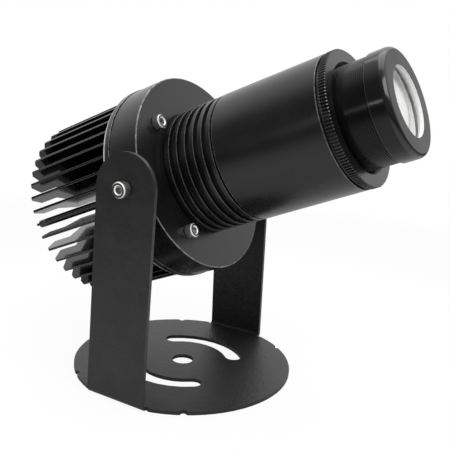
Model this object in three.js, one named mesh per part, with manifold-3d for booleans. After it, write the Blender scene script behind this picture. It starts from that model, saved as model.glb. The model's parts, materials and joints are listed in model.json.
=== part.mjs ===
// A small gobo projector: a machined lamp head that tilts between the arms of a bent sheet bracket.
// Millimetres, +Z up. The origin is the centre of the base disc on its underside, and the lens faces -Y.
// The head is modelled level, in a frame whose origin is the tilt pivot, and then tilted as a group.
// A "station" is a distance along the optical axis from the pivot, positive towards the lens.

import * as THREE from 'three';
import { mergeVertices } from 'three/addons/utils/BufferGeometryUtils.js';
import Module from 'manifold-3d';

const { degToRad } = THREE.MathUtils;

// Allowances
const seatGap = 0.3; // left between pieces that touch, seat or screw together
const cutOverrun = 1; // how far a cutter passes the face that it opens
const weldReach = 0.0005; // vertices nearer than this are one vertex
const outerFacets = 36; // facets round a large turned piece
const innerFacets = 20; // facets round a small or hidden turned piece
const screwFacets = 12; // facets round a screw
const slotFacets = 8; // facets along each arc of a slot
const cornerSteps = 4; // steps along a small round corner
const lensSteps = 4; // steps from the axis to the rim of a lens surface

// Focus tube and its lenses. Its radius sets those of the whole head, which is built round it wall by wall.
const tubeRadius = 24.6;
const tubeSeatWall = 3.4; // wall round a lens
const tubeShoulder = 1.7; // how far a shoulder stands in under a lens
const tubeSpigotDrop = 1.4; // step down under the cap
const tubeSpigotLength = 5.6;
const tubeLength = 48.9; // behind the cap
const capStandOff = 14; // lock ring to cap at rest
const capProud = 0.8; // cap radius beyond the tube
const capLength = 9.6;
const capCorner = 2;
const capLip = 4.7; // how far the cap's lip reaches in over the lens
const capOpeningFlare = 1.6;
const lensEdge = 3;
const frontLensBulge = 6.5;
const frontSeatDepth = 8.2; // tube front end to the shoulder under the front lens
const rearLensBulge = 5;
const rearSeatDepth = 13; // tube back end to the shoulder under the rear lens
const retainerWidth = 2.5;
const retainerWall = 1.7;

// Lock ring on the focus thread
const lockRingWall = 7.7;
const lockRingWidth = 3.8;
const knurlCount = 60;
const knurlDepth = 0.45;
const lockRingBoreChamfer = 1.6;

// Barrel
const barrelWeb = 7.6; // radial depth of the front web that guides the tube
const barrelWebWidth = 8;
const barrelLength = 55;
const barrelWall = 4;
const barrelEdge = 0.5;
const barrelNoseDrop = 1.5; // step down to the nose
const barrelNoseLength = 0.9;

// Ribbed neck
const neckFrontSpigotWall = 2.2;
const neckFrontSpigotLength = 8;
const neckRibInset = 0.1; // rib radius short of the barrel
const neckGrooveDepth = 2.4;
const neckCollarDrop = 0.8; // plain collar radius short of the ribs
const neckCollarWidth = 1.3;
const ribCount = 6;
const ribWidth = 2.4;
const ribPitch = 4.97;
const neckLastGroove = 0.7;
const neckSpigotWall = 3;
const neckSpigotLength = 7.8;
const neckStopInset = 4; // barrel joint to the front face of the inner stop
const neckStopWidth = 1.2;
const neckStopHeight = 1.4;

// Lamp housing: a turned drum whose front wall is the flange
const housingBackReach = 9.7; // pivot to its back face
const housingFrontReach = 7.3; // pivot to its front face
const housingFrontWall = 8.3;
const housingCavityStep = 2.5; // cavity radius beyond the neck's spigot
const housingEdge = 0.5; // chamfer
const sealGrooveInset = 2.8; // cavity wall to the middle of the groove
const sealGrooveWidth = 2.6;
const sealGrooveDepth = 1.6;

// Flange screws
const flangeScrewCount = 4;
const flangeScrewPhase = degToRad(45);
const flangeScrewStandOff = 6.6; // ribs to the screw circle
const flangeScrewEdge = 12; // screw circle to the edge of the flange
const flangeScrewRadius = 2;
const flangeHeadRadius = 3.55;
const flangeHeadHeight = 4;
const threadFloor = 1; // plate left under a blind hole

// Heat sink: a round plate with free-standing blades and an open middle
const plateThickness = 4.3;
const plateRimProud = 0.4; // plate radius beyond the housing
const plateEdge = 0.5;
const finCount = 42;
const finPhase = degToRad(2.2);
const finThickness = 1.3;
const finRimInset = 2.6; // edge of the plate to the blades
const finLength = 59.3;
const finCornerOut = 2.4; // the cut outer corner, measured along the radius
const finCornerBack = 2.4; // the same cut, measured along the axis
const finTipSlope = 1.4; // how far the tip falls back towards the outer corner
const finTipDepth = 10.2; // radial depth of the tip part of a blade
const finTipLength = 12; // length of that part
const bossRadius = 2;
const bossInset = 5.8; // boss centre, in from the outer edge of the blades
const bossShortfall = 1.2; // blade tip beyond the boss
const bossFins = [0, finCount / 2];

// Tilt pivot
const pivotHeight = 106.5;
const tiltAtRest = degToRad(23.6);
const pivotStandOff = 2.6; // housing wall to the inner face of an arm
const pivotScrewRadius = 2.5;
const pivotScrewDepth = 12; // its bite in the housing wall
const pivotHeadRadius = 3.95;
const pivotHeadHeight = 4.4;
const pivotArmClearance = 0.5; // round the screw, in the hole of an arm
const spacerRadius = 6;
const spotfaceDepth = 0.6;

// Bracket: one sheet, cut out and bent up into two arms
const sheetThickness = 2;
const bendInnerRadius = 1.5;
const armHalfWidth = 17.2;
const armLean = degToRad(2.26);
const baseRimBeyondArm = 0.2;
const centreHoleRadius = 6;
const slotPitchRadius = 29.3;
const slotHalfWidth = 4.65;
const slotHalfSpan = degToRad(45);
const reliefWidth = 1.5;
const rimNotchRadius = 1.7;
const rimNotchAngle = degToRad(35);

// Light source
const boardRadius = 10;
const boardThickness = 1.6;
const padThickness = 0.5;
const emitterSide = 7;
const emitterBase = 0.8;
const emitterDomeRadius = 2.6;
const boardScrewReach = 7.3;
const boardScrewRadius = 1.2;
const boardScrewBite = 2.6;
const boardHeadRadius = 2;
const boardHeadHeight = 1.2;
const boardSocketRadius = 0.8;
const boardSocketDepth = 0.7;

// Supply gland, below the axis in the heat sink's open middle
const glandBoardGap = 0.9; // edge of the board to the gland's locknut
const glandFinGap = 0.9; // gland to the blades
const glandThreadRadius = 2.75; // pitch radius of a 6 mm thread
const glandThreadLength = 8;
const glandBore = 1.8;
const glandHexRadius = 6.6;
const glandHexLength = 4;
const glandRearRadius = 5;
const glandRearLength = 6.4;
const glandNutLength = 10;
const glandNutWall = 1.2;
const glandNutMouth = 2.1;
const glandNutCorner = 1.5;
const glandSealWidth = 2.4;
const locknutWidth = 2.5;

// Two leads from the gland to the board
const leadRadius = 0.6;
const leadSides = 6;
const leadSteps = 12;
const leadSpread = 0.85; // half the distance between the leads in the gland
const leadPadSpread = 3.4; // and at the board
const leadPadInset = 2;
const leadArch = 2.4; // rise of the arch over the board
const leadTail = 5.5; // length left in the gland

// Condenser
const cellWall = 1.4;
const cellFlangeInset = 0.5; // flange radius short of the neck's spigot
const cellFlangeWidth = 2.8;
const cellLength = 29.8; // in front of its flange
const cellLip = 1;
const collimatorInset = 5; // collimator radius short of the condenser lens
const collimatorBulge = 10;
const collimatorSeatDepth = 14.2;
const condenserShoulderWidth = 1.5; // how far it stands in under the condenser lens
const condenserShoulder = 21.9; // flange front to the shoulder under the condenser lens
const condenserBulge = 8;
const condenserRise = 1.4; // shoulder to the lens edge, where its curved face rests

// Gobo and its holder
const goboHolderLength = 7;
const goboHolderLip = 1.2;
const goboRim = 3; // edge of the gobo to the aperture
const goboHolderWall = 7.2; // edge of the gobo to the outside of its holder
const goboThickness = 1.1;
const goboSnapWidth = 1.2;
const goboSnapWall = 2;
const goboReliefWall = 2.2;
const goboReliefDepth = 2.7;
const goboLockWidth = 2.2;
const goboLockWall = 3.2;

// Radii that follow from the sizes above
const tubeSeatRadius = tubeRadius - tubeSeatWall;
const tubeBore = tubeSeatRadius - tubeShoulder;
const lensRadius = tubeSeatRadius - seatGap;
const capRadius = tubeRadius + capProud;
const capOpening = tubeSeatRadius - capLip;
const guideBore = tubeRadius + seatGap;
const lockRingRadius = guideBore + lockRingWall;
const barrelRadius = guideBore + barrelWeb;
const barrelNoseRadius = barrelRadius - barrelNoseDrop;
const barrelBore = barrelRadius - barrelWall;
const neckFrontSpigot = barrelBore - seatGap;
const neckBore = neckFrontSpigot - neckFrontSpigotWall;
const ribRadius = barrelRadius - neckRibInset;
const ribRootRadius = ribRadius - neckGrooveDepth;
const neckCollarRadius = ribRadius - neckCollarDrop;
const neckStopBore = neckBore - neckStopHeight;
const neckSpigotRadius = neckBore + neckSpigotWall;
const housingBore = neckSpigotRadius + seatGap;
const housingCavityRadius = neckSpigotRadius + housingCavityStep;
const sealGrooveRadius = housingCavityRadius + sealGrooveInset;
const flangeScrewPitchRadius = ribRadius + flangeScrewStandOff;
const housingRadius = flangeScrewPitchRadius + flangeScrewEdge;
const plateRadius = housingRadius + plateRimProud;
const finOuterRadius = plateRadius - finRimInset;
const glandDrop = boardRadius + glandBoardGap + glandHexRadius;
const finPocketRadius = glandDrop + glandHexRadius + glandFinGap;
const cellRadius = neckBore - seatGap;
const cellFlangeRadius = neckSpigotRadius - cellFlangeInset;
const cellBore = cellRadius - cellWall;
const condenserRadius = cellBore - seatGap;
const condenserShoulderBore = cellBore - condenserShoulderWidth;
const collimatorRadius = condenserRadius - collimatorInset;
const goboRadius = cellRadius - goboHolderWall;
const armInner = housingRadius + pivotStandOff;
const armOuter = armInner + sheetThickness / Math.cos(armLean);

// Stations that follow from the sizes above
const housingBack = -housingBackReach;
const housingFront = housingFrontReach;
const housingWallBack = housingFront - housingFrontWall;
const plateFront = housingBack - seatGap;
const plateBack = plateFront - plateThickness;
const finTip = plateBack - finLength;
const neckShoulder = housingFront + seatGap;
const neckBack = neckShoulder - neckSpigotLength;
const ribsBack = neckShoulder + neckCollarWidth;
const ribsFront = ribsBack + (ribCount - 1) * ribPitch + ribWidth;
const neckFront = ribsFront + neckLastGroove;
const neckTip = neckFront + neckFrontSpigotLength;
const barrelBack = neckFront + seatGap;
const barrelFront = barrelBack + barrelLength;
const barrelNose = barrelFront + barrelNoseLength;
const lockRingBack = barrelNose + seatGap;
const lockRingFront = lockRingBack + lockRingWidth;
const capBack = lockRingFront + capStandOff;
const capFront = capBack + capLength;
const tubeStep = capBack - seatGap;
const tubeFront = tubeStep + tubeSpigotLength;
const tubeBack = tubeStep - tubeLength;
const padBack = plateFront + seatGap;
const boardBack = padBack + padThickness + seatGap;
const boardFront = boardBack + boardThickness;
const emitterBack = boardFront + seatGap;
const emitterFront = emitterBack + emitterBase;
const cellFlangeFront = neckBack - seatGap;
const cellBack = cellFlangeFront - cellFlangeWidth;
const neckStopFront = neckFront - neckStopInset + neckStopWidth;
const holderBack = neckStopFront + seatGap;
const holderFront = holderBack + goboHolderLength;

// Materials
function finish(colour, roughness, metalness) {
  return new THREE.MeshStandardMaterial({ color: colour, roughness, metalness });
}
const powderCoat = finish(0x1d1d1e, 0.6, 0.2);
const blackAnodised = finish(0x1b1b1d, 0.45, 0.6);
const stainless = finish(0xc9cacc, 0.25, 1);
const rubber = finish(0x151515, 0.9, 0);
const nylon = finish(0x202022, 0.6, 0);
const opticalGlass = finish(0xe6eef2, 0.03, 0);
const boardWhite = finish(0xe9e9e4, 0.5, 0.1);
const siliconeYellow = finish(0xe7c64a, 0.3, 0);
const redWire = finish(0xa31f1c, 0.5, 0);
const blackWire = finish(0x18181a, 0.5, 0);

// Solids
const wasm = await Module();
wasm.setup();

// A closed geometry as a solid that can be joined and cut, facing outwards.
function toSolid(geometry) {
  const bare = geometry.clone();
  bare.deleteAttribute('normal');
  bare.deleteAttribute('uv');
  const welded = mergeVertices(bare, weldReach);
  const corner = new THREE.Vector3();
  const point = (index) => corner.fromBufferAttribute(welded.attributes.position, index).clone();
  const faces = [];
  let volume = 0;
  for (let i = 0; i < welded.index.count; i += 3) {
    const [a, b, c] = [0, 1, 2].map((k) => welded.index.getX(i + k));
    if (a === b || b === c || c === a) continue;
    faces.push([a, b, c]);
    volume += point(a).dot(point(b).cross(point(c)));
  }
  const outward = volume < 0 ? faces.map(([a, b, c]) => [a, c, b]) : faces;
  return new wasm.Manifold(
    new wasm.Mesh({
      numProp: 3,
      vertProperties: new Float32Array(welded.attributes.position.array),
      triVerts: new Uint32Array(outward.flat()),
    }),
  );
}

function toGeometry(solid) {
  const mesh = solid.getMesh();
  const geometry = new THREE.BufferGeometry();
  geometry.setAttribute('position', new THREE.BufferAttribute(mesh.vertProperties, mesh.numProp));
  geometry.setIndex(new THREE.BufferAttribute(mesh.triVerts, 1));
  geometry.computeVertexNormals();
  return geometry;
}

function cut(solid, cutters) {
  return cutters.reduce((left, cutter) => left.subtract(cutter), solid);
}

function join(solids) {
  return solids.reduce((whole, solid) => whole.add(solid));
}

// Turns a profile of [radius, station] points about the optical axis.
function revolve(profile, facets) {
  const points = profile.map(([radius, station]) => new THREE.Vector2(radius, station));
  return new THREE.LatheGeometry(points, facets).rotateX(Math.PI);
}

// A hollow turned piece: its outer and its inner wall, each listed from back to front.
function hollow(outer, inner, facets) {
  return revolve([...outer, ...inner.toReversed(), outer[0]], facets);
}

// A plain turned ring or, with no bore, a plain turned disc.
function ring(radius, bore, back, front, facets) {
  const outer = [[radius, back], [radius, front]];
  const inner = [[bore, back], [bore, front]];
  return bore > 0 ? hollow(outer, inner, facets) : revolve([inner[0], ...outer, inner[1]], facets);
}

// A flat outline, across and up, drawn out along the optical axis from one station to another.
function prism(shape, back, front, curveSegments = innerFacets) {
  const forward = new THREE.Vector3(0, -1, 0);
  const across = new THREE.Vector3(1, 0, 0);
  const up = new THREE.Vector3(0, 0, 1);
  const place = new THREE.Matrix4().makeBasis(across, up, forward).setPosition(0, -back, 0);
  const settings = { depth: front - back, bevelEnabled: false, curveSegments };
  return new THREE.ExtrudeGeometry(shape, settings).applyMatrix4(place);
}

function polygon(radius, sides, phase = 0) {
  const points = [];
  for (let i = 0; i < sides; i += 1) {
    const angle = phase + (i / sides) * 2 * Math.PI;
    points.push(new THREE.Vector2(radius * Math.cos(angle), radius * Math.sin(angle)));
  }
  return new THREE.Shape(points);
}

// Points of a domed face from the axis to its rim. A positive bulge faces the lens end.
function domed(rimRadius, bulge, rimStation) {
  const side = Math.sign(bulge);
  const sphere = (rimRadius ** 2 + bulge ** 2) / (2 * Math.abs(bulge));
  const rimAngle = Math.asin(rimRadius / sphere);
  const points = [];
  for (let i = 0; i <= lensSteps; i += 1) {
    const angle = (i / lensSteps) * rimAngle;
    const drop = sphere * (1 - Math.cos(angle));
    points.push([sphere * Math.sin(angle), rimStation + bulge - side * drop]);
  }
  return points;
}

// A lens with a flat or domed back and front; an edge station and a bulge for each.
function lens(radius, back, backBulge, front, frontBulge) {
  const backFace = backBulge ? domed(radius, -backBulge, back) : [[0, back], [radius, back]];
  const frontFace = frontBulge ? domed(radius, frontBulge, front) : [[0, front], [radius, front]];
  return revolve([...backFace, ...frontFace.toReversed()], innerFacets);
}

// Points of a quarter-round corner between a wall of the given radius and a face at the given station.
function roundCorner(radius, station, corner) {
  const points = [];
  for (let i = 0; i <= cornerSteps; i += 1) {
    const angle = (i / cornerSteps) * (Math.PI / 2);
    points.push([radius - corner * (1 - Math.cos(angle)), station - corner * (1 - Math.sin(angle))]);
  }
  return points;
}

// A socket-head cap screw: its bearing face at station 0, its head in front, its shank behind.
function capScrew(headRadius, headHeight, shankRadius, shankLength) {
  const chamfer = headHeight / 10;
  const socketRadius = headRadius / 2;
  const socketFloor = headHeight / 2;
  const body = revolve(
    [
      [0, -shankLength],
      [shankRadius - chamfer, -shankLength],
      [shankRadius, chamfer - shankLength],
      [shankRadius, 0],
      [headRadius, 0],
      [headRadius, headHeight - chamfer],
      [headRadius - chamfer, headHeight],
      [0, headHeight],
    ],
    screwFacets,
  );
  const socket = prism(polygon(socketRadius, 6), socketFloor, headHeight + cutOverrun);
  return cut(toSolid(body), [toSolid(socket)]);
}

// A place on a circle about the optical axis, in the head's frame.
function onCircle(radius, angle, station) {
  return new THREE.Vector3(radius * Math.cos(angle), -station, radius * Math.sin(angle));
}

function flangeScrewPlaces(station) {
  return Array.from({ length: flangeScrewCount }, (_, i) => {
    return onCircle(flangeScrewPitchRadius, flangeScrewPhase + (i / flangeScrewCount) * 2 * Math.PI, station);
  });
}

// Bracket
function baseOutline() {
  const outline = polygon(baseRadius(bendStart()), 2 * outerFacets);
  outline.holes.push(polygon(centreHoleRadius, innerFacets));
  for (const middle of [0, Math.PI]) outline.holes.push(arcSlot(middle));
  return outline;
}

// An arc slot with round ends, centred on the given direction.
function arcSlot(middle) {
  const from = middle - slotHalfSpan;
  const to = middle + slotHalfSpan;
  const endCentre = (angle) => [slotPitchRadius * Math.cos(angle), slotPitchRadius * Math.sin(angle)];
  const slot = new THREE.Path();
  slot.absarc(0, 0, slotPitchRadius + slotHalfWidth, from, to, false);
  slot.absarc(...endCentre(to), slotHalfWidth, to, to + Math.PI, false);
  slot.absarc(0, 0, slotPitchRadius - slotHalfWidth, to, from, true);
  slot.absarc(...endCentre(from), slotHalfWidth, from + Math.PI, from + 2 * Math.PI, false);
  return slot;
}

// How far out the sheet stays flat before it bends up, so that the arm meets the pivot at its width.
function bendStart() {
  const outerRadius = bendInnerRadius + sheetThickness;
  const bend = Math.PI / 2 + armLean;
  const bendEndHeight = outerRadius * (1 - Math.cos(bend));
  const leanReach = Math.tan(armLean) * (pivotHeight - bendEndHeight);
  return armOuter + leanReach - outerRadius * Math.sin(bend);
}

function baseRadius(bendLine) {
  return bendLine + bendInnerRadius + sheetThickness + baseRimBeyondArm;
}

// One arm on the +X side: the bent strip seen from the side, trimmed to the arm's face outline.
function arm() {
  const outerRadius = bendInnerRadius + sheetThickness;
  const bend = Math.PI / 2 + armLean;
  const bendLine = bendStart();
  const top = pivotHeight + armHalfWidth + cutOverrun;
  const alongArm = (radius) => {
    const endHeight = outerRadius - radius * Math.cos(bend);
    const endOut = bendLine + radius * Math.sin(bend);
    return new THREE.Vector2(endOut - Math.tan(armLean) * (top - endHeight), top);
  };
  const arc = (radius) => {
    const points = [];
    for (let i = 0; i <= cornerSteps; i += 1) {
      const angle = (i / cornerSteps) * bend;
      const out = bendLine + radius * Math.sin(angle);
      points.push(new THREE.Vector2(out, outerRadius - radius * Math.cos(angle)));
    }
    return points;
  };
  const lapStart = bendLine - sheetThickness;
  const section = new THREE.Shape([
    new THREE.Vector2(lapStart, 0),
    ...arc(outerRadius),
    alongArm(outerRadius),
    alongArm(bendInnerRadius),
    ...arc(bendInnerRadius).toReversed(),
    new THREE.Vector2(lapStart, sheetThickness),
  ]);
  const strip = new THREE.ExtrudeGeometry(section, { depth: 2 * armHalfWidth, bevelEnabled: false });
  strip.rotateX(Math.PI / 2).translate(0, armHalfWidth, 0);

  const face = new THREE.Shape();
  face.moveTo(-armHalfWidth, -cutOverrun);
  face.lineTo(armHalfWidth, -cutOverrun);
  face.lineTo(armHalfWidth, pivotHeight);
  face.absarc(0, pivotHeight, armHalfWidth, 0, Math.PI, false);
  face.closePath();
  const hole = new THREE.Path();
  hole.absarc(0, pivotHeight, pivotScrewRadius + pivotArmClearance, 0, 2 * Math.PI, true);
  face.holes.push(hole);
  const reach = 2 * (bendLine + outerRadius);
  const settings = { depth: reach, bevelEnabled: false, curveSegments: innerFacets };
  const trim = new THREE.ExtrudeGeometry(face, settings);
  const acrossY = new THREE.Vector3(0, 1, 0);
  const up = new THREE.Vector3(0, 0, 1);
  trim.applyMatrix4(new THREE.Matrix4().makeBasis(acrossY, up, new THREE.Vector3(1, 0, 0)));
  return toSolid(strip).intersect(toSolid(trim));
}

// What is cut from the disc so that an arm can bend up: the strip beyond the bend, with a relief each side.
function armRelief() {
  const bendLine = bendStart();
  const depth = baseRadius(bendLine) - bendLine + cutOverrun;
  const width = 2 * (armHalfWidth + reliefWidth);
  const height = sheetThickness + 2 * cutOverrun;
  return new THREE.BoxGeometry(depth, width, height).translate(bendLine + depth / 2, 0, sheetThickness / 2);
}

function rimNotch(angle) {
  const radius = baseRadius(bendStart());
  const height = sheetThickness + 2 * cutOverrun;
  const notch = new THREE.CylinderGeometry(rimNotchRadius, rimNotchRadius, height, screwFacets);
  notch.rotateX(Math.PI / 2);
  return notch.translate(radius * Math.cos(angle), radius * Math.sin(angle), sheetThickness / 2);
}

function yokeBracket() {
  const settings = { depth: sheetThickness, bevelEnabled: false, curveSegments: slotFacets / 2 };
  const disc = toSolid(new THREE.ExtrudeGeometry(baseOutline(), settings));
  const cutters = [];
  const arms = [];
  for (const side of [0, Math.PI]) {
    cutters.push(toSolid(armRelief().rotateZ(side)));
    for (const sign of [-1, 1]) cutters.push(toSolid(rimNotch(side + sign * rimNotchAngle)));
    arms.push(toSolid(toGeometry(arm()).rotateZ(side)));
  }
  return join([cut(disc, cutters), ...arms]);
}

// Heat sink
function finBlade(angle) {
  const tipInner = finOuterRadius - finTipDepth;
  const root = plateBack + plateThickness / 2;
  const outline = new THREE.Shape([
    new THREE.Vector2(root, finPocketRadius),
    new THREE.Vector2(root, finOuterRadius),
    new THREE.Vector2(finTip + finTipSlope + finCornerBack, finOuterRadius),
    new THREE.Vector2(finTip + finTipSlope, finOuterRadius - finCornerOut),
    new THREE.Vector2(finTip, tipInner),
    new THREE.Vector2(finTip + finTipLength, tipInner),
    new THREE.Vector2(finTip + finTipLength - finTipSlope, finPocketRadius),
  ]);
  const blade = new THREE.ExtrudeGeometry(outline, { depth: finThickness, bevelEnabled: false });
  const forward = new THREE.Vector3(0, -1, 0);
  const outward = onCircle(1, angle, 0);
  const sideways = new THREE.Vector3().crossVectors(forward, outward);
  const place = new THREE.Matrix4().makeBasis(forward, outward, sideways);
  return blade.translate(0, 0, -finThickness / 2).applyMatrix4(place);
}

function finAngle(index) {
  return finPhase + (index / finCount) * 2 * Math.PI;
}

function screwBoss(angle) {
  const boss = ring(bossRadius, 0, finTip + bossShortfall, plateBack + plateThickness / 2, innerFacets / 2);
  const place = onCircle(finOuterRadius - bossInset, angle, 0);
  return boss.translate(place.x, 0, place.z);
}

function blindHole(place, radius, bottom, mouth, facets) {
  return toSolid(ring(radius, 0, bottom, mouth, facets).translate(place.x, 0, place.z));
}

function heatSink() {
  const plate = revolve(
    [
      [0, plateBack],
      [plateRadius - plateEdge, plateBack],
      [plateRadius, plateBack + plateEdge],
      [plateRadius, plateFront],
      [0, plateFront],
    ],
    outerFacets,
  );
  const solids = [toSolid(plate)];
  for (let i = 0; i < finCount; i += 1) solids.push(toSolid(finBlade(finAngle(i))));
  for (const index of bossFins) solids.push(toSolid(screwBoss(finAngle(index))));
  const mouth = plateFront + cutOverrun;
  const flangeHole = flangeScrewRadius + seatGap;
  const boardHole = boardScrewRadius + seatGap;
  const cutters = flangeScrewPlaces(0).map((place) => {
    return blindHole(place, flangeHole, plateBack + threadFloor - seatGap, mouth, screwFacets);
  });
  for (const place of boardScrewPlaces(0)) {
    cutters.push(blindHole(place, boardHole, plateFront - boardScrewBite - seatGap, mouth, screwFacets));
  }
  const glandHole = glandThreadRadius + seatGap;
  cutters.push(blindHole(glandPlace(), glandHole, plateBack - cutOverrun, mouth, innerFacets));
  return cut(join(solids), cutters);
}

// Lamp housing
function lampHousing() {
  const shell = hollow(
    [
      [housingRadius, housingBack],
      [housingRadius, housingFront - housingEdge],
      [housingRadius - housingEdge, housingFront],
    ],
    [
      [sealGrooveRadius + sealGrooveWidth / 2, housingBack],
      [sealGrooveRadius + sealGrooveWidth / 2, housingBack + sealGrooveDepth],
      [sealGrooveRadius - sealGrooveWidth / 2, housingBack + sealGrooveDepth],
      [sealGrooveRadius - sealGrooveWidth / 2, housingBack],
      [housingCavityRadius, housingBack],
      [housingCavityRadius, housingWallBack],
      [housingBore, housingWallBack],
      [housingBore, housingFront],
    ],
    outerFacets,
  );
  const back = housingBack - cutOverrun;
  const front = housingFront + cutOverrun;
  const cutters = flangeScrewPlaces(0).map((place) => {
    return blindHole(place, flangeScrewRadius + seatGap, back, front, screwFacets);
  });
  for (const side of [0, Math.PI]) {
    const seat = spotface();
    const drillTip = seat - pivotScrewDepth - seatGap;
    const face = ring(spacerRadius + seatGap, 0, seat, housingRadius + cutOverrun, innerFacets);
    const hole = ring(pivotScrewRadius + seatGap, 0, drillTip, housingRadius + cutOverrun, screwFacets);
    for (const cutter of [face, hole]) cutters.push(toSolid(cutter.rotateZ(Math.PI / 2 + side)));
  }
  return cut(toSolid(shell), cutters);
}

// Distance from the optical axis to the flat that is milled for a pivot spacer.
function spotface() {
  return housingRadius - spotfaceDepth;
}

function housingSeal() {
  const radius = sealGrooveRadius + sealGrooveWidth / 2 - seatGap;
  const bore = sealGrooveRadius - sealGrooveWidth / 2 + seatGap;
  return toSolid(ring(radius, bore, housingBack, housingBack + sealGrooveDepth - seatGap, outerFacets));
}

// Pivot pieces stand along the tilt axis; their stations are distances from the optical axis.
function leanAllowance(radius) {
  return radius * Math.tan(armLean);
}

function pivotSpacer() {
  const inner = spotface() + seatGap;
  const outer = armInner - seatGap - leanAllowance(spacerRadius);
  return toSolid(ring(spacerRadius, pivotScrewRadius + seatGap, inner, outer, innerFacets));
}

function pivotHeadSeat() {
  return armOuter + seatGap + leanAllowance(pivotHeadRadius);
}

function pivotScrew() {
  const length = pivotHeadSeat() - spotface() + pivotScrewDepth;
  return capScrew(pivotHeadRadius, pivotHeadHeight, pivotScrewRadius, length);
}

// Ribbed neck
function ribbedNeck() {
  const outer = [
    [neckSpigotRadius, neckBack],
    [neckSpigotRadius, neckShoulder],
    [neckCollarRadius, neckShoulder],
    [neckCollarRadius, ribsBack],
  ];
  for (let i = 0; i < ribCount; i += 1) {
    const back = ribsBack + i * ribPitch;
    const front = back + ribWidth;
    if (i > 0) outer.push([ribRootRadius, back]);
    outer.push([ribRadius, back], [ribRadius, front], [ribRootRadius, front]);
  }
  outer.push([ribRootRadius, neckFront], [neckFrontSpigot, neckFront], [neckFrontSpigot, neckTip]);
  const stopBack = neckStopFront - neckStopWidth;
  const inner = [
    [neckBore, neckBack],
    [neckBore, stopBack],
    [neckStopBore, stopBack],
    [neckStopBore, neckStopFront],
    [neckBore, neckStopFront],
    [neckBore, neckTip],
  ];
  return toSolid(hollow(outer, inner, outerFacets));
}

// Barrel
function barrel() {
  const outer = [
    [barrelRadius - barrelEdge, barrelBack],
    [barrelRadius, barrelBack + barrelEdge],
    [barrelRadius, barrelFront - barrelEdge],
    [barrelRadius - barrelEdge, barrelFront],
    [barrelNoseRadius, barrelFront],
    [barrelNoseRadius, barrelNose],
  ];
  const inner = [
    [barrelBore, barrelBack],
    [barrelBore, barrelFront - barrelWebWidth],
    [guideBore, barrelFront - barrelWebWidth],
    [guideBore, barrelNose],
  ];
  return toSolid(hollow(outer, inner, outerFacets));
}

// Lock ring, straight-knurled round its rim
function lockRing() {
  const points = [];
  for (let i = 0; i < 2 * knurlCount; i += 1) {
    const angle = (i / knurlCount) * Math.PI;
    const radius = i % 2 ? lockRingRadius : lockRingRadius - knurlDepth;
    points.push(new THREE.Vector2(radius * Math.cos(angle), radius * Math.sin(angle)));
  }
  const blank = prism(new THREE.Shape(points), lockRingBack, lockRingFront);
  const mouth = guideBore + lockRingBoreChamfer + cutOverrun;
  const opening = revolve(
    [
      [0, lockRingBack - cutOverrun],
      [guideBore, lockRingBack - cutOverrun],
      [guideBore, lockRingFront - lockRingBoreChamfer],
      [mouth, lockRingFront + cutOverrun],
      [0, lockRingFront + cutOverrun],
    ],
    outerFacets,
  );
  return cut(toSolid(blank), [toSolid(opening)]);
}

// Focus tube and what it carries
function focusTube() {
  const spigot = tubeRadius - tubeSpigotDrop;
  const outer = [
    [tubeRadius, tubeBack],
    [tubeRadius, tubeStep],
    [spigot, tubeStep],
    [spigot, tubeFront],
  ];
  const inner = [
    [tubeSeatRadius, tubeBack],
    [tubeSeatRadius, tubeBack + rearSeatDepth],
    [tubeBore, tubeBack + rearSeatDepth],
    [tubeBore, tubeFront - frontSeatDepth],
    [tubeSeatRadius, tubeFront - frontSeatDepth],
    [tubeSeatRadius, tubeFront],
  ];
  return toSolid(hollow(outer, inner, outerFacets));
}

function frontCap() {
  const skirt = tubeRadius - tubeSpigotDrop + seatGap;
  const lipBack = tubeFront + seatGap;
  const outer = [[capRadius, capBack], ...roundCorner(capRadius, capFront, capCorner)];
  const inner = [
    [skirt, capBack],
    [skirt, lipBack],
    [capOpening + capOpeningFlare, lipBack],
    [capOpening, lipBack + capOpeningFlare],
    [capOpening, capFront],
  ];
  return toSolid(hollow(outer, inner, outerFacets));
}

// Where a domed lens face stands at the given radius, measured in from its rim.
function domeRise(bulge, radius) {
  const sphere = (lensRadius ** 2 + bulge ** 2) / (2 * bulge);
  return Math.sqrt(sphere ** 2 - radius ** 2) - (sphere - bulge);
}

function frontLens() {
  const back = tubeFront - frontSeatDepth + seatGap;
  return toSolid(lens(lensRadius, back, 0, back + lensEdge, frontLensBulge));
}

function frontLensRetainer() {
  const bore = lensRadius - retainerWall;
  const edge = tubeFront - frontSeatDepth + seatGap + lensEdge;
  const back = edge + domeRise(frontLensBulge, bore) + seatGap;
  return toSolid(ring(lensRadius, bore, back, back + retainerWidth, innerFacets));
}

function rearLens() {
  const front = tubeBack + rearSeatDepth - seatGap;
  return toSolid(lens(lensRadius, front - lensEdge, rearLensBulge, front, 0));
}

function rearLensRetainer() {
  const bore = lensRadius - retainerWall;
  const edge = tubeBack + rearSeatDepth - seatGap - lensEdge;
  const front = edge - domeRise(rearLensBulge, bore) - seatGap;
  return toSolid(ring(lensRadius, bore, front - retainerWidth, front, innerFacets));
}

// Light source
function boardScrewPlaces(station) {
  return [0, Math.PI].map((angle) => onCircle(boardScrewReach, angle, station));
}

function drilledDisc(back, front) {
  const cutters = boardScrewPlaces(0).map((place) => {
    return blindHole(place, boardScrewRadius + seatGap, back - cutOverrun, front + cutOverrun, screwFacets);
  });
  return cut(toSolid(ring(boardRadius, 0, back, front, innerFacets)), cutters);
}

function thermalPad() {
  return drilledDisc(padBack, padBack + padThickness);
}

function ledBoard() {
  return drilledDisc(boardBack, boardFront);
}

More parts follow.
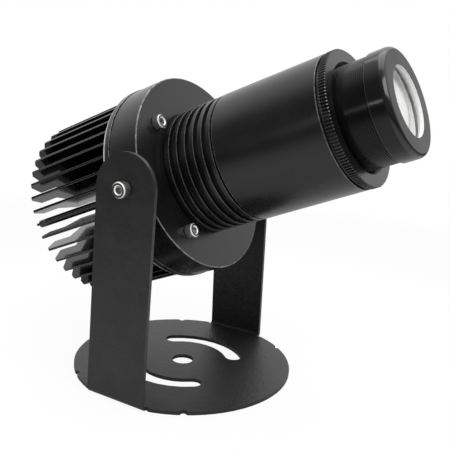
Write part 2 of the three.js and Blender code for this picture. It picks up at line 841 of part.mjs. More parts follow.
function ledEmitter() {
  const base = prism(polygon(emitterSide / Math.SQRT2, 4, Math.PI / 4), emitterBack, emitterFront);
  const domeBase = emitterFront - emitterBase / 2;
  const domeFace = domed(emitterDomeRadius, emitterDomeRadius, emitterFront);
  const dome = revolve([[0, domeBase], ...domeFace.toReversed()], innerFacets);
  const foot = ring(emitterDomeRadius, 0, domeBase, emitterFront, innerFacets);
  return join([toSolid(base), toSolid(foot), toSolid(dome)]);
}

function boardScrew() {
  const length = boardFront + seatGap - plateFront + boardScrewBite;
  const body = revolve(
    [
      [0, -length],
      [boardScrewRadius, -length],
      [boardScrewRadius, 0],
      [boardHeadRadius, 0],
      [boardHeadRadius, boardHeadHeight],
      [0, boardHeadHeight],
    ],
    screwFacets,
  );
  const socketFloor = boardHeadHeight - boardSocketDepth;
  const socket = prism(polygon(boardSocketRadius, 6), socketFloor, boardHeadHeight + cutOverrun);
  return cut(toSolid(body), [toSolid(socket)]);
}

// Supply gland, about its own axis
function glandPlace() {
  return new THREE.Vector3(0, 0, -glandDrop);
}

const glandFlangeFront = plateBack - seatGap;
const glandFlangeBack = glandFlangeFront - glandHexLength;
const glandNutFront = glandFlangeBack - seatGap;
const glandNutBack = glandNutFront - glandNutLength;
const glandRearEnd = glandFlangeBack - glandRearLength;

function glandBody() {
  const mouth = glandFlangeFront + glandThreadLength;
  const thread = ring(glandThreadRadius, 0, glandFlangeFront - cutOverrun, mouth, innerFacets);
  const flange = prism(polygon(glandHexRadius, 6), glandFlangeBack, glandFlangeFront);
  const rear = ring(glandRearRadius, 0, glandRearEnd, glandFlangeBack + cutOverrun, innerFacets);
  const bore = ring(glandBore, 0, glandRearEnd - cutOverrun, mouth + cutOverrun, innerFacets);
  return cut(join([toSolid(thread), toSolid(flange), toSolid(rear)]), [toSolid(bore)]);
}

function glandLocknut() {
  const back = plateFront + seatGap;
  const front = back + locknutWidth;
  const nut = prism(polygon(glandHexRadius, 6), back, front);
  const hole = ring(glandThreadRadius + seatGap, 0, back - cutOverrun, front + cutOverrun, innerFacets);
  return cut(toSolid(nut), [toSolid(hole)]);
}

function glandCapNut() {
  const bore = glandRearRadius + seatGap;
  const radius = bore + glandNutWall;
  const corner = [];
  for (const [cornerRadius, cornerStation] of roundCorner(radius, 0, glandNutCorner)) {
    corner.push([cornerRadius, glandNutBack - cornerStation]);
  }
  const outer = [...corner.toReversed(), [radius, glandNutFront]];
  const inner = [
    [glandNutMouth, glandNutBack],
    [glandNutMouth, glandNutBack + glandNutWall],
    [bore, glandNutBack + glandNutWall],
    [bore, glandNutFront],
  ];
  return toSolid(hollow(outer, inner, innerFacets));
}

function glandSeal() {
  const front = glandRearEnd - seatGap;
  const back = Math.max(front - glandSealWidth, glandNutBack + glandNutWall + seatGap);
  return toSolid(ring(glandRearRadius, glandBore, back, front, innerFacets));
}

// One of the two leads: out of the gland, over in an arch, and down onto the board.
function supplyLead(side) {
  const mouth = glandFlangeFront + glandThreadLength;
  const crest = boardFront + leadArch;
  const padDrop = boardRadius - leadPadInset;
  const between = (from, to, share) => from + (to - from) * share;
  const archShares = [0.25, 0.6];
  const leadPoint = (spread, drop, station) => new THREE.Vector3(side * spread, -station, -drop);
  const spreadAt = (share) => between(leadSpread, leadPadSpread, share);
  const dropAt = (share) => between(glandDrop, padDrop, share);
  const path = new THREE.CatmullRomCurve3([
    leadPoint(leadSpread, glandDrop, mouth - leadTail),
    leadPoint(leadSpread, glandDrop, mouth - leadRadius),
    ...archShares.map((share) => leadPoint(spreadAt(share), dropAt(share), crest)),
    leadPoint(leadPadSpread, padDrop, boardFront + leadArch / 2),
    leadPoint(leadPadSpread, padDrop, boardFront + seatGap),
  ]);
  const settings = { extrudePath: path, steps: leadSteps, bevelEnabled: false };
  return toSolid(new THREE.ExtrudeGeometry(polygon(leadRadius, leadSides), settings));
}

// Condenser
function condenserCell() {
  const outer = [
    [cellFlangeRadius, cellBack],
    [cellFlangeRadius, cellFlangeFront],
    [cellRadius, cellFlangeFront],
    [cellRadius, cellFlangeFront + cellLength],
  ];
  const collimatorBore = collimatorRadius + seatGap;
  const inner = [
    [collimatorBore - cellLip - seatGap, cellBack],
    [collimatorBore - cellLip - seatGap, cellBack + cellLip],
    [collimatorBore, cellBack + cellLip],
    [collimatorBore, cellBack + collimatorSeatDepth],
    [condenserShoulderBore, cellBack + collimatorSeatDepth],
    [condenserShoulderBore, cellFlangeFront + condenserShoulder],
    [cellBore, cellFlangeFront + condenserShoulder],
    [cellBore, cellFlangeFront + cellLength],
  ];
  return toSolid(hollow(outer, inner, innerFacets));
}

function collimatorLens() {
  const back = cellBack + cellLip + seatGap;
  return toSolid(lens(collimatorRadius, back, 0, back + lensEdge, collimatorBulge));
}

const condenserLensBack = cellFlangeFront + condenserShoulder + condenserRise;

function condenserLens() {
  return toSolid(lens(condenserRadius, condenserLensBack, condenserBulge, condenserLensBack + lensEdge, 0));
}

function condenserRetainer() {
  const back = condenserLensBack + lensEdge + seatGap;
  const bore = condenserRadius - retainerWall;
  return toSolid(ring(condenserRadius, bore, back, back + retainerWidth, innerFacets));
}

// Gobo and its holder
const goboBack = holderBack + goboHolderLip + seatGap;

function goboHolder() {
  const pocket = goboRadius + seatGap;
  const outer = [[cellRadius, holderBack], [cellRadius, holderFront]];
  const inner = [
    [goboRadius - goboRim, holderBack],
    [goboRadius - goboRim, holderBack + goboHolderLip],
    [pocket, holderBack + goboHolderLip],
    [pocket, holderFront - goboReliefDepth],
    [cellRadius - goboReliefWall, holderFront - goboReliefDepth],
    [cellRadius - goboReliefWall, holderFront],
  ];
  return toSolid(hollow(outer, inner, innerFacets));
}

function goboGlass() {
  return toSolid(ring(goboRadius, 0, goboBack, goboBack + goboThickness, innerFacets));
}

function goboSnapRing() {
  const back = goboBack + goboThickness + seatGap;
  return toSolid(ring(goboRadius, goboRadius - goboSnapWall, back, back + goboSnapWidth, innerFacets));
}

function goboLockRing() {
  const back = holderFront + seatGap;
  return toSolid(ring(cellRadius, cellRadius - goboLockWall, back, back + goboLockWidth, innerFacets));
}

// Assembly
function piece(name, solid, material, place = new THREE.Vector3()) {
  const mesh = new THREE.Mesh(toGeometry(solid), material);
  mesh.name = name;
  mesh.position.copy(place);
  return mesh;
}

// A piece made along the optical axis, turned to point out along the tilt axis on the given side.
function pivotPiece(name, solid, material, side, station = 0) {
  const mesh = piece(name, solid, material, new THREE.Vector3(side * station, 0, 0));
  mesh.rotation.z = (side * Math.PI) / 2;
  return mesh;
}

function lightSource() {
  const group = new THREE.Group();
  group.add(piece('thermal_pad', thermalPad(), rubber));
  group.add(piece('led_board', ledBoard(), boardWhite));
  group.add(piece('led_emitter', ledEmitter(), siliconeYellow));
  boardScrewPlaces(boardFront + seatGap).forEach((place, i) => {
    group.add(piece(`board_screw_${i + 1}`, boardScrew(), stainless, place));
  });
  group.add(piece('supply_lead_positive', supplyLead(1), redWire));
  group.add(piece('supply_lead_negative', supplyLead(-1), blackWire));
  return group;
}

function supplyGland() {
  const group = new THREE.Group();
  group.position.copy(glandPlace());
  group.add(piece('gland_body', glandBody(), nylon));
  group.add(piece('gland_locknut', glandLocknut(), nylon));
  group.add(piece('gland_cap_nut', glandCapNut(), nylon));
  group.add(piece('gland_seal', glandSeal(), rubber));
  return group;
}

function condenser() {
  const group = new THREE.Group();
  group.add(piece('condenser_cell', condenserCell(), blackAnodised));
  group.add(piece('collimator_lens', collimatorLens(), opticalGlass));
  group.add(piece('condenser_lens', condenserLens(), opticalGlass));
  group.add(piece('condenser_retainer', condenserRetainer(), blackAnodised));
  return group;
}

function gobo() {
  const group = new THREE.Group();
  group.add(piece('gobo_holder', goboHolder(), blackAnodised));
  group.add(piece('gobo_glass', goboGlass(), opticalGlass));
  group.add(piece('gobo_snap_ring', goboSnapRing(), stainless));
  group.add(piece('gobo_lock_ring', goboLockRing(), blackAnodised));
  return group;
}

function focusGroup() {
  const group = new THREE.Group();
  group.add(piece('focus_tube', focusTube(), blackAnodised));
  group.add(piece('front_cap', frontCap(), blackAnodised));
  group.add(piece('front_lens', frontLens(), opticalGlass));
  group.add(piece('front_lens_retainer', frontLensRetainer(), blackAnodised));
  group.add(piece('rear_lens', rearLens(), opticalGlass));
  group.add(piece('rear_lens_retainer', rearLensRetainer(), blackAnodised));
  return group;
}

function pivots() {
  const group = new THREE.Group();
  for (const [word, side] of [['left', -1], ['right', 1]]) {
    group.add(pivotPiece(`${word}_pivot_screw`, pivotScrew(), stainless, side, pivotHeadSeat()));
    group.add(pivotPiece(`${word}_pivot_spacer`, pivotSpacer(), nylon, side));
  }
  return group;
}

function head() {
  const group = new THREE.Group();
  group.position.set(0, 0, pivotHeight);
  group.rotation.x = -tiltAtRest;
  group.add(piece('heat_sink', heatSink(), blackAnodised));
  group.add(piece('lamp_housing', lampHousing(), blackAnodised));
  group.add(piece('housing_seal', housingSeal(), rubber));
  flangeScrewPlaces(neckShoulder).forEach((place, i) => {
    const length = neckShoulder - plateBack - threadFloor;
    const screw = capScrew(flangeHeadRadius, flangeHeadHeight, flangeScrewRadius, length);
    group.add(piece(`flange_screw_${i + 1}`, screw, stainless, place));
  });
  group.add(piece('ribbed_neck', ribbedNeck(), blackAnodised));
  group.add(piece('barrel', barrel(), blackAnodised));
  group.add(piece('lock_ring', lockRing(), blackAnodised));
  group.add(pivots(), lightSource(), supplyGland(), condenser(), gobo(), focusGroup());
  return group;
}

const projector = new THREE.Group();
projector.add(piece('yoke_bracket', yokeBracket(), powderCoat));
projector.add(head());

export default projector;
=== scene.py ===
"""Looks of a gobo projector, modelled with Blender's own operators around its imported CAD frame.

Sizes are written in millimetres and turned to metres by mm(). The head's pieces are modelled level, with the
tilt pivot at the origin and the lens facing -Y, and are then laid on the frame's tilted optical axis.
A station is a distance along that axis from the pivot, positive towards the lens.
"""

import json
import logging
import math
from dataclasses import dataclass, field
from enum import Enum
from functools import cache
from typing import Any, Callable, Optional, Sequence

import bpy
from mathutils import Matrix, Vector


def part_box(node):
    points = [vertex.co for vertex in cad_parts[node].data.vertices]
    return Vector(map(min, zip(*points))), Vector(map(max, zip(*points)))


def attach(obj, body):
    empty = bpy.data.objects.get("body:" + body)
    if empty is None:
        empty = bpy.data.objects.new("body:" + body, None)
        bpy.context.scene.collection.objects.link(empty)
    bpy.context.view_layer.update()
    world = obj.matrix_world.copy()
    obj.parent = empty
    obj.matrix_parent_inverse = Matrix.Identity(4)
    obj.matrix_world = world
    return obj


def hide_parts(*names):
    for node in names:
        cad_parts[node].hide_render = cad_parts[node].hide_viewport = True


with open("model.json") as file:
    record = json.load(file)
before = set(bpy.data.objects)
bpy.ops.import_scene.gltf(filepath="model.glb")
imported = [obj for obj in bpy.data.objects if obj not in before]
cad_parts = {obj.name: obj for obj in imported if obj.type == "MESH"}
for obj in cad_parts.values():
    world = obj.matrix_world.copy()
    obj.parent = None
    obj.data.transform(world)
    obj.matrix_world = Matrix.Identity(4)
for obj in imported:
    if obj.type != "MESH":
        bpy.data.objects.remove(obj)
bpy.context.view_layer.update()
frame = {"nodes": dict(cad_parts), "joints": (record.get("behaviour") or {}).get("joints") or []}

log = logging.getLogger("gobo_projector")

Piece = bpy.types.Object
Face = bpy.types.MeshPolygon
Material = bpy.types.Material
Tree = bpy.types.NodeTree
Socket = bpy.types.NodeSocket
Point = tuple[float, float]
Triple = tuple[float, float, float]
Colour = tuple[float, float, float, float]

FULL_TURN = 2 * math.pi
QUARTER_TURN = math.pi / 2
SEAT_GAP = 0.3  # millimetres between a piece and what carries it
MERGE_REACH = 0.0004  # points that are fewer millimetres apart than this become one
OVERRUN = 1.0  # how many millimetres a cutter reaches past its cut
RIM_SHARE = 0.999  # a point beyond this share of a radius is on the rim
ROUNDED_FROM = math.radians(32)  # the least angle of an edge that is softened
ROUND_SEGMENTS = 2  # faces across a softened edge
SMOOTH_UP_TO = math.radians(40)  # the greatest angle that is shaded smooth
FLAT_WEIGHT = 80  # how far the large faces lead the shading
NOISE_LOW, NOISE_HIGH = 0.3, 0.7  # where nearly all of a noise's values lie
NOISE_ROUGHNESS = 0.55
PATCH_DETAIL = 3  # finer layers in a patch of shade or gloss
GRAIN_DETAIL = 2  # finer layers in a relief
COLOUR_A, COLOUR_B, COLOUR_OUT = 6, 7, 2  # the numbers of a Mix node's colour sockets
HEXAGON = 6
WHITE = "#ffffff"


def mm(length: float) -> float:
    """Turns millimetres to metres."""
    return length / 1000


def to_mm(length: float) -> float:
    """Turns metres to millimetres."""
    return length * 1000


def linear(code: str) -> Colour:
    """Turns an sRGB colour to a linear one, by the standard curve.

    Args:
        code: the colour as "#rrggbb".

    Returns:
        Linear red, green, blue and an alpha of one.
    """
    channels = [int(code[i : i + 2], 16) / 255 for i in (1, 3, 5)]
    red, green, blue = (c / 12.92 if c <= 0.04045 else ((c + 0.055) / 1.055) ** 2.4 for c in channels)
    return red, green, blue, 1.0


class Body(Enum):
    """The frame's moving bodies."""

    BRACKET = "bracket"
    HEAD = "head"
    FOCUS = "focus_barrel"
    LOCK = "focus_lock"


class Slot(Enum):
    """The record's material slots, which some new pieces carry as a value that nothing reads."""

    POWDER = "powder_coat"
    ANODISED = "black_anodised"
    STAINLESS = "stainless"
    NYLON = "nylon"
    GLASS = "optical_glass"


class Space(Enum):
    """Where a pattern's coordinates are centred."""

    ROW = "row"
    AXIS = "axis"


class MeshPart(Enum):
    """What a selection is made of, in the words of Blender's select mode."""

    POINTS = "VERT"
    FACES = "FACE"


@dataclass(frozen=True)
class Span:
    """How far a turned CAD node reaches, in millimetres."""

    back: float
    front: float
    radius: float
    bore: float


@dataclass(frozen=True)
class OpticalAxis:
    """The head's tilted axis, read from the frame's joints."""

    pivot: Vector
    tilt: float

    @classmethod
    def from_frame(cls) -> "OpticalAxis":
        """Reads the pivot and the tilt at rest from the joints.

        Returns:
            The axis.
        """
        joints = {joint["name"]: joint for joint in frame["joints"]}
        forward = Vector(joints["focus_travel"]["axis"])
        return cls(Vector(joints["head_tilt"]["pos_m"]), math.atan2(forward.z, -forward.y))

    def span(self, node: str) -> Span:
        """Measures a CAD node about the axis.

        Args:
            node: the node's name.

        Returns:
            Its stations and radii.
        """
        level = Matrix.Rotation(self.tilt, 3, "X")
        points = [level @ (vertex.co - self.pivot) for vertex in frame["nodes"][node].data.vertices]
        stations = [-to_mm(point.y) for point in points]
        radii = [to_mm(off_axis(point)) for point in points]
        return Span(min(stations), max(stations), max(radii), min(radii))

    def lay(self, piece: Piece) -> None:
        """Moves a piece that was modelled level onto the axis, and keeps its place in its mesh.

        Args:
            piece: the piece.
        """
        pick(piece)
        piece.location = self.pivot
        piece.rotation_euler = (-self.tilt, 0, 0)
        bpy.ops.object.transform_apply(location=True, rotation=True, scale=True)


# Places round the level optical axis


def off_axis(place: Vector) -> float:
    """Gives a place's distance from the axis."""
    return math.hypot(place.x, place.z)


def round_axis(reach: float, angle: float, station: float = 0.0) -> Vector:
    """Gives, in metres, the place at a reach from the axis, an angle round it and a station along it."""
    return Vector((mm(reach) * math.cos(angle), -mm(station), mm(reach) * math.sin(angle)))


def even_angles(count: int, first: float) -> list[float]:
    """Gives a number of angles, evenly spaced round the axis from the first one."""
    return [first + number / count * FULL_TURN for number in range(count)]


def round_corner(radius: float, station: float, width: float, length: float, steps: int) -> list[Point]:
    """Outlines a quarter round between a wall and the face in front of it.

    Args:
        radius: the wall's radius.
        station: the face's station.
        width: how far the round reaches across the face.
        length: how far it reaches along the wall.
        steps: the number of steps along it.

    Returns:
        Its points, from the wall to the face.
    """
    angles = [step / steps * QUARTER_TURN for step in range(steps + 1)]
    return [(radius - width * (1 - math.cos(a)), station - length * (1 - math.sin(a))) for a in angles]


@dataclass(frozen=True)
class Zone:
    """Some faces of a level piece, told by where they are and how far they face backwards.

    A face's distance from the axis is between beyond and within, and its station greater than ahead_of. Its
    normal's share along the axis, from -1 for a front face to 1 for a back face, is between least and most.
    """

    beyond: float = -math.inf
    within: float = math.inf
    ahead_of: float = -math.inf
    least: float = -math.inf
    most: float = math.inf

    def __call__(self, face: Face) -> bool:
        """Tells whether a face is in the zone."""
        reach, station = to_mm(off_axis(face.center)), -to_mm(face.center.y)
        return (
            self.beyond < reach < self.within
            and station > self.ahead_of
            and self.least < face.normal.y < self.most
        )


AXIS = OpticalAxis.from_frame()


# Modelling steps, each one an operator or a few


def pick(*pieces: Piece) -> None:
    """Leaves edit mode and selects just these pieces, with the first one active.

    Args:
        pieces: the pieces, or none to select nothing.
    """
    if bpy.context.mode != "OBJECT":
        bpy.ops.object.mode_set(mode="OBJECT")
    bpy.ops.object.select_all(action="DESELECT")
    for piece in pieces:
        piece.select_set(True)
    if pieces:
        bpy.context.view_layer.objects.active = pieces[0]


def edit(piece: Piece) -> None:
    """Enters edit mode with all of a piece selected.

    Args:
        piece: the piece.
    """
    pick(piece)
    bpy.ops.object.mode_set(mode="EDIT")
    bpy.ops.mesh.select_all(action="SELECT")


def select(piece: Piece, part: MeshPart, chosen: Callable[[Any], bool]) -> None:
    """Enters edit mode with just the points or faces selected that pass a test.

    Args:
        piece: the piece.
        part: whether the test is given vertices or faces.
        chosen: the test.
    """
    pick(piece)
    bpy.ops.object.mode_set(mode="EDIT")
    bpy.ops.mesh.select_mode(type=part.value)
    bpy.ops.mesh.select_all(action="DESELECT")
    bpy.ops.object.mode_set(mode="OBJECT")
    for item in piece.data.vertices if part is MeshPart.POINTS else piece.data.polygons:
        item.select = chosen(item)
    bpy.ops.object.mode_set(mode="EDIT")


def apply_modifier(piece: Piece, kind: str, **settings: Any) -> None:
    """Adds a modifier with its settings and applies it.

    Args:
        piece: the piece.
        kind: the modifier's type.
        settings: its properties.
    """
    pick(piece)
    modifier = piece.modifiers.new(kind.lower(), kind)
    for name, value in settings.items():
        setattr(modifier, name, value)
    bpy.ops.object.modifier_apply(modifier=modifier.name)


def turn(name: str, outline: Sequence[Point], steps: int, closed: bool = True) -> Piece:
    """Turns an outline about the optical axis, as on a lathe.

    Args:
        name: the piece's name.
        outline: its [radius, station] points in millimetres.
        steps: facets round the piece.
        closed: whether the outline closes on itself, or else starts and ends on the axis.

    Returns:
        The turned piece, still level.
    """
    places = [Vector((mm(radius), -mm(station), 0)) for radius, station in outline]
    if closed:
        places.append(places[0])
    pick()
    bpy.ops.mesh.primitive_plane_add()
    piece = bpy.context.active_object
    piece.name = name
    edit(piece)
    bpy.ops.mesh.select_mode(type="VERT")
    bpy.ops.mesh.merge(type="CENTER")
    bpy.ops.transform.translate(value=places[0])
    for here, there in zip(places, places[1:]):
        bpy.ops.mesh.extrude_region_move(TRANSFORM_OT_translate={"value": there - here})
    bpy.ops.mesh.select_all(action="SELECT")
    bpy.ops.mesh.spin(steps=steps, angle=FULL_TURN, center=(0, 0, 0), axis=(0, 1, 0))
    bpy.ops.mesh.select_all(action="SELECT")
    bpy.ops.mesh.remove_doubles(threshold=mm(MERGE_REACH))
    bpy.ops.mesh.normals_make_consistent(inside=False)
    bpy.ops.object.mode_set(mode="OBJECT")
    return piece


def notch_rim(piece: Piece, steps: int, per_tooth: int, radius: float, depth: float) -> None:
    """Draws half of the lines of a turned rim inwards, which gives it straight teeth.

    Args:
        piece: the turned piece, still level.
        steps: facets round it.
        per_tooth: facets of each tooth and its groove together.
        radius: the rim's radius in millimetres.
        depth: how deep the grooves are.
    """
    wall = mm(radius) * RIM_SHARE

    def in_a_groove(vertex: bpy.types.MeshVertex) -> bool:
        """Tells whether a vertex is on the rim, on a line of a groove."""
        line = round(math.atan2(vertex.co.z, vertex.co.x) / FULL_TURN * steps) % per_tooth
        return line >= per_tooth / 2 and off_axis(vertex.co) > wall

    select(piece, MeshPart.POINTS, in_a_groove)
    share = 1 - depth / radius
    bpy.ops.transform.resize(value=(share, 1, share))
    bpy.ops.object.mode_set(mode="OBJECT")


def prism(name: str, sides: int, radius: float, back: float, front: float) -> Piece:
    """Adds a plain prism along the optical axis, to be shaped or to cut with.

    Args:
        name: the piece's name.
        sides: its number of sides.
        radius: its corner radius in millimetres.
        back: the station of its back face.
        front: the station of its front face.

    Returns:
        The prism, with its place in its mesh.
    """
    pick()
    bpy.ops.mesh.primitive_cylinder_add(
        vertices=sides,
        radius=mm(radius),
        depth=mm(front - back),
        location=(0, -mm((back + front) / 2), 0),
        rotation=(QUARTER_TURN, 0, 0),
    )
    piece = bpy.context.active_object
    piece.name = name
    bpy.ops.object.transform_apply(location=True, rotation=True, scale=True)
    return piece


def move(piece: Piece, offset: Vector) -> None:
    """Moves a piece's mesh.

    Args:
        piece: the piece.
        offset: how far, in metres.
    """
    pick(piece)
    piece.location = offset
    bpy.ops.object.transform_apply(location=True, rotation=False, scale=False)


def swing(piece: Piece, angle: float, axis: str) -> None:
    """Turns a piece's mesh about the world's origin.

    Args:
        piece: the piece.
        angle: how far, in radians.
        axis: "X", "Y" or "Z".
    """
    pick(piece)
    piece.rotation_euler["XYZ".index(axis)] = angle
    bpy.ops.object.transform_apply(location=False, rotation=True, scale=False)


def drill(piece: Piece, cutters: Sequence[Piece]) -> None:
    """Cuts the cutters out of a piece, and deletes them.

    Args:
        piece: the piece.
        cutters: the shapes to cut out.
    """
    for cutter in cutters:
        apply_modifier(piece, "BOOLEAN", object=cutter, operation="DIFFERENCE", solver="EXACT")
        bpy.data.objects.remove(cutter)


def soften(piece: Piece, width: float) -> None:
    """Rounds a piece's sharp edges, and gives the new faces its second finish.

    Args:
        piece: the piece.
        width: the round's width in millimetres.
    """
    apply_modifier(
        piece,
        "BEVEL",
        width=mm(width),
        segments=ROUND_SEGMENTS,
        limit_method="ANGLE",
        angle_limit=ROUNDED_FROM,
        material=1,
        use_clamp_overlap=True,
        miter_outer="MITER_ARC",
    )
    smooth(piece)


def smooth(piece: Piece) -> None:
    """Shades a piece smooth, and keeps its flat faces flat.

    Args:
        piece: the piece.
    """
    pick(piece)
    bpy.ops.object.shade_smooth_by_angle(angle=SMOOTH_UP_TO)
    apply_modifier(piece, "WEIGHTED_NORMAL", keep_sharp=True, weight=FLAT_WEIGHT)


def join(name: str, pieces: Sequence[Piece]) -> Piece:
    """Joins pieces into one.

    Args:
        name: the whole's name.
        pieces: the pieces.

    Returns:
        The whole.
    """
    pick(*pieces)
    bpy.ops.object.join()
    pieces[0].name = name
    return pieces[0]


def copy_of(piece: Piece, name: str) -> Piece:
    """Copies a piece, with a mesh of its own.

    Args:
        piece: the piece.
        name: the copy's name.

    Returns:
        The copy.
    """
    twin = piece.copy()
    twin.data = piece.data.copy()
    twin.name = name
    bpy.context.scene.collection.objects.link(twin)
    return twin


# Finishes


def add_node(tree: Tree, kind: str, inputs: dict[Any, Any], **settings: Any) -> bpy.types.Node:
    """Adds a shader node with its values, links and settings.

    Args:
        tree: the node tree.
        kind: the node's type, without its "ShaderNode".
        inputs: for each socket's name or number, a value or the socket that feeds it.
        settings: the node's properties.

    Returns:
        The node.
    """
    node = tree.nodes.new("ShaderNode" + kind)
    for name, value in settings.items():
        setattr(node, name, value)
    for name, value in inputs.items():
        if isinstance(value, Socket):
            tree.links.new(value, node.inputs[name])
        else:
            node.inputs[name].default_value = value
    return node


def new_material(name: str) -> tuple[Material, Tree]:
    """Makes a material.

    Args:
        name: its name.

    Returns:
        The material and its empty node tree.
    """
    material = bpy.data.materials.new(name)
    material.use_nodes = True
    material.node_tree.nodes.clear()
    return material, material.node_tree


@dataclass(frozen=True)
class Pattern:
    """A node tree and the coordinates, in metres, that its patterns read. Their sizes are in millimetres."""

    tree: Tree
    place: Socket

    @classmethod
    def over(cls, tree: Tree, space: Space) -> "Pattern":
        """Starts the patterns of a material.

        Args:
            tree: the material's node tree.
            space: the row's frame, or the head's, where the optical axis is Y through the origin.

        Returns:
            The pattern to draw with.
        """
        place = add_node(tree, "TexCoord", {}).outputs["Object"]
        if space is Space.AXIS:
            inputs = {"Vector": place, "Location": AXIS.pivot, "Rotation": (-AXIS.tilt, 0, 0)}
            place = add_node(tree, "Mapping", inputs, vector_type="TEXTURE").outputs["Vector"]
        return cls(tree, place)

    def turned(self) -> "Pattern":
        """Gives the same pattern on (radius, station, 0), so that it runs round the optical axis.

        Returns:
            The pattern to draw with.
        """
        parts = add_node(self.tree, "SeparateXYZ", {"Vector": self.place}).outputs
        across = add_node(self.tree, "CombineXYZ", {"X": parts["X"], "Z": parts["Z"]}).outputs["Vector"]
        radius = add_node(self.tree, "VectorMath", {0: across}, operation="LENGTH").outputs["Value"]
        place = add_node(self.tree, "CombineXYZ", {"X": radius, "Y": parts["Y"]}).outputs["Vector"]
        return Pattern(self.tree, place)

    def wander(self, size: float, low: float, high: float, detail: int = PATCH_DETAIL) -> Socket:
        """Gives a value that wanders over the surface.

        Args:
            size: the size of its patches.
            low: the least value.
            high: the greatest value.
            detail: how many finer layers the patches have.

        Returns:
            The value's socket.
        """
        inputs = {"Vector": self.place, "Scale": 1 / mm(size), "Detail": detail, "Roughness": NOISE_ROUGHNESS}
        noise = add_node(self.tree, "TexNoise", inputs).outputs["Fac"]
        limits = {"From Min": NOISE_LOW, "From Max": NOISE_HIGH, "To Min": low, "To Max": high}
        return add_node(self.tree, "MapRange", {"Value": noise, **limits}).outputs["Result"]

    def tint(self, size: float, colour: str, other: str) -> Socket:
        """Gives a colour that wanders over the surface.

        Args:
            size: the size of its patches.
            colour: one sRGB colour.
            other: the other one.

        Returns:
            The colour's socket.
        """
        inputs = {"Factor": self.wander(size, 0, 1), COLOUR_A: linear(colour), COLOUR_B: linear(other)}
        return add_node(self.tree, "Mix", inputs, data_type="RGBA").outputs[COLOUR_OUT]

    def relief(self, size: float, depth: float, under: Optional[Socket] = None) -> Socket:
        """Gives a fine relief.

        Args:
            size: the size of its grains.
            depth: how deep they are.
            under: another relief that this one lies on.

        Returns:
            The normal's socket.
        """
        inputs = {"Height": self.wander(size, 0, 1, GRAIN_DETAIL), "Distance": mm(depth), "Strength": 1.0}
        if under is not None:
            inputs["Normal"] = under
        return add_node(self.tree, "Bump", inputs).outputs["Normal"]


@dataclass(frozen=True)
class Surface:
    """What the opaque finishes share: two shades and a gloss, each in patches, and a fine grain."""

    name: str
    colour: str
    shade: str
    roughness: float
    smoother: float = 0.05
    rougher: float = 0.05
    grain_size: float = 0.5
    grain_depth: float = 0.012
    patch_size: float = grain_size * 20
    gloss_size: float = patch_size
    gloss_detail: int = PATCH_DETAIL
    space: Space = Space.AXIS

    def under(self, pattern: Pattern) -> Optional[Socket]:
        """Gives the coarser relief that the grain lies on: none, unless a kind of finish has one."""
        return None

    def own(self, pattern: Pattern) -> dict[str, Any]:
        """Gives the shader inputs that only one kind of finish sets."""
        return {}

    def build(self) -> Material:
        """Makes the material.

        Returns:
            The material.
        """
        material, tree = new_material(self.name)
        pattern = Pattern.over(tree, self.space)
        low, high = self.roughness - self.smoother, self.roughness + self.rougher
        inputs = {
            "Base Color": pattern.tint(self.patch_size, self.colour, self.shade),
            "Roughness": pattern.wander(self.gloss_size, low, high, self.gloss_detail),
            "Normal": pattern.relief(self.grain_size, self.grain_depth, self.under(pattern)),
            **self.own(pattern),
        }
        shader = add_node(tree, "BsdfPrincipled", inputs).outputs["BSDF"]
        add_node(tree, "OutputMaterial", {"Surface": shader})
        return material


@dataclass(frozen=True)
class Anodised(Surface):
    """Turned aluminium with a black anodised skin: a dyed oxide layer that shines as a clear hard skin does.

    The tool's marks run round the axis and the sealed skin has a fine grain, so highlights are soft bands.
    The real marks are about 0.1 mm apart and the grain is finer still. Both are drawn a few times coarser, or
    they wouldn't show.
    """

    colour: str = "#0d0d0e"
    shade: str = "#131315"
    roughness: float = 0.27
    smoother: float = 0.03
    rougher: float = 0.04
    grain_size: float = 0.35
    grain_depth: float = 0.004
    patch_size: float = 18.0
    gloss_size: float = patch_size
    skin_index: float = 1.5
    mark_size: float = 0.6
    mark_depth: float = 0.006

    def under(self, pattern: Pattern) -> Socket:
        """Gives the tool's marks."""
        return pattern.turned().relief(self.mark_size, self.mark_depth)

    def own(self, pattern: Pattern) -> dict[str, Any]:
        """Sets the oxide skin's index, which sets how much light it throws back."""
        return {"IOR": self.skin_index}


@dataclass(frozen=True)
class EdgeWearAndHighlight(Surface):
    """An edge or chamfer that is partly bare metal, rubbed, cut or blasted, and partly a painted highlight: a
    pale, broken line.

    The real specks of wear are 0.1 mm or less, and are drawn coarser so that they show.
    """

    colour: str = "#4a4a4e"
    shade: str = "#b4b4b8"
    roughness: float = 0.3
    smoother: float = 0.0
    rougher: float = 0.12
    patch_size: float = 2.2
    gloss_size: float = patch_size
    grain_size: float = patch_size / 6
    grain_depth: float = 0.005
    least_metal: float = 0.5
    most_metal: float = 0.95

    def own(self, pattern: Pattern) -> dict[str, Any]:
        """Gives the share of bare metal, which wanders along the edge."""
        return {"Metallic": pattern.wander(self.patch_size, self.least_metal, self.most_metal)}


@dataclass(frozen=True)
class PowderCoat(Surface):
    """Fine-textured matte black powder coat on steel sheet: a leathery grain that breaks up every highlight.

    The real grain is about 0.2 mm, and is drawn about three times coarser so that it shows.
    """

    colour: str = "#141415"
    shade: str = "#1e1e1f"
    roughness: float = 0.4
    smoother: float = 0.04
    rougher: float = 0.08
    grain_size: float = 0.7
    grain_depth: float = 0.06
    patch_size: float = grain_size * 15
    gloss_size: float = grain_size
    wave_size: float = grain_size * 5
    skin_index: float = 1.5
    space: Space = Space.ROW

    def under(self, pattern: Pattern) -> Socket:
        """Gives the slow waves in which the coat flowed as it baked."""
        return pattern.relief(self.wave_size, self.grain_depth)

    def own(self, pattern: Pattern) -> dict[str, Any]:
        """Sets the resin's index."""
        return {"IOR": self.skin_index}


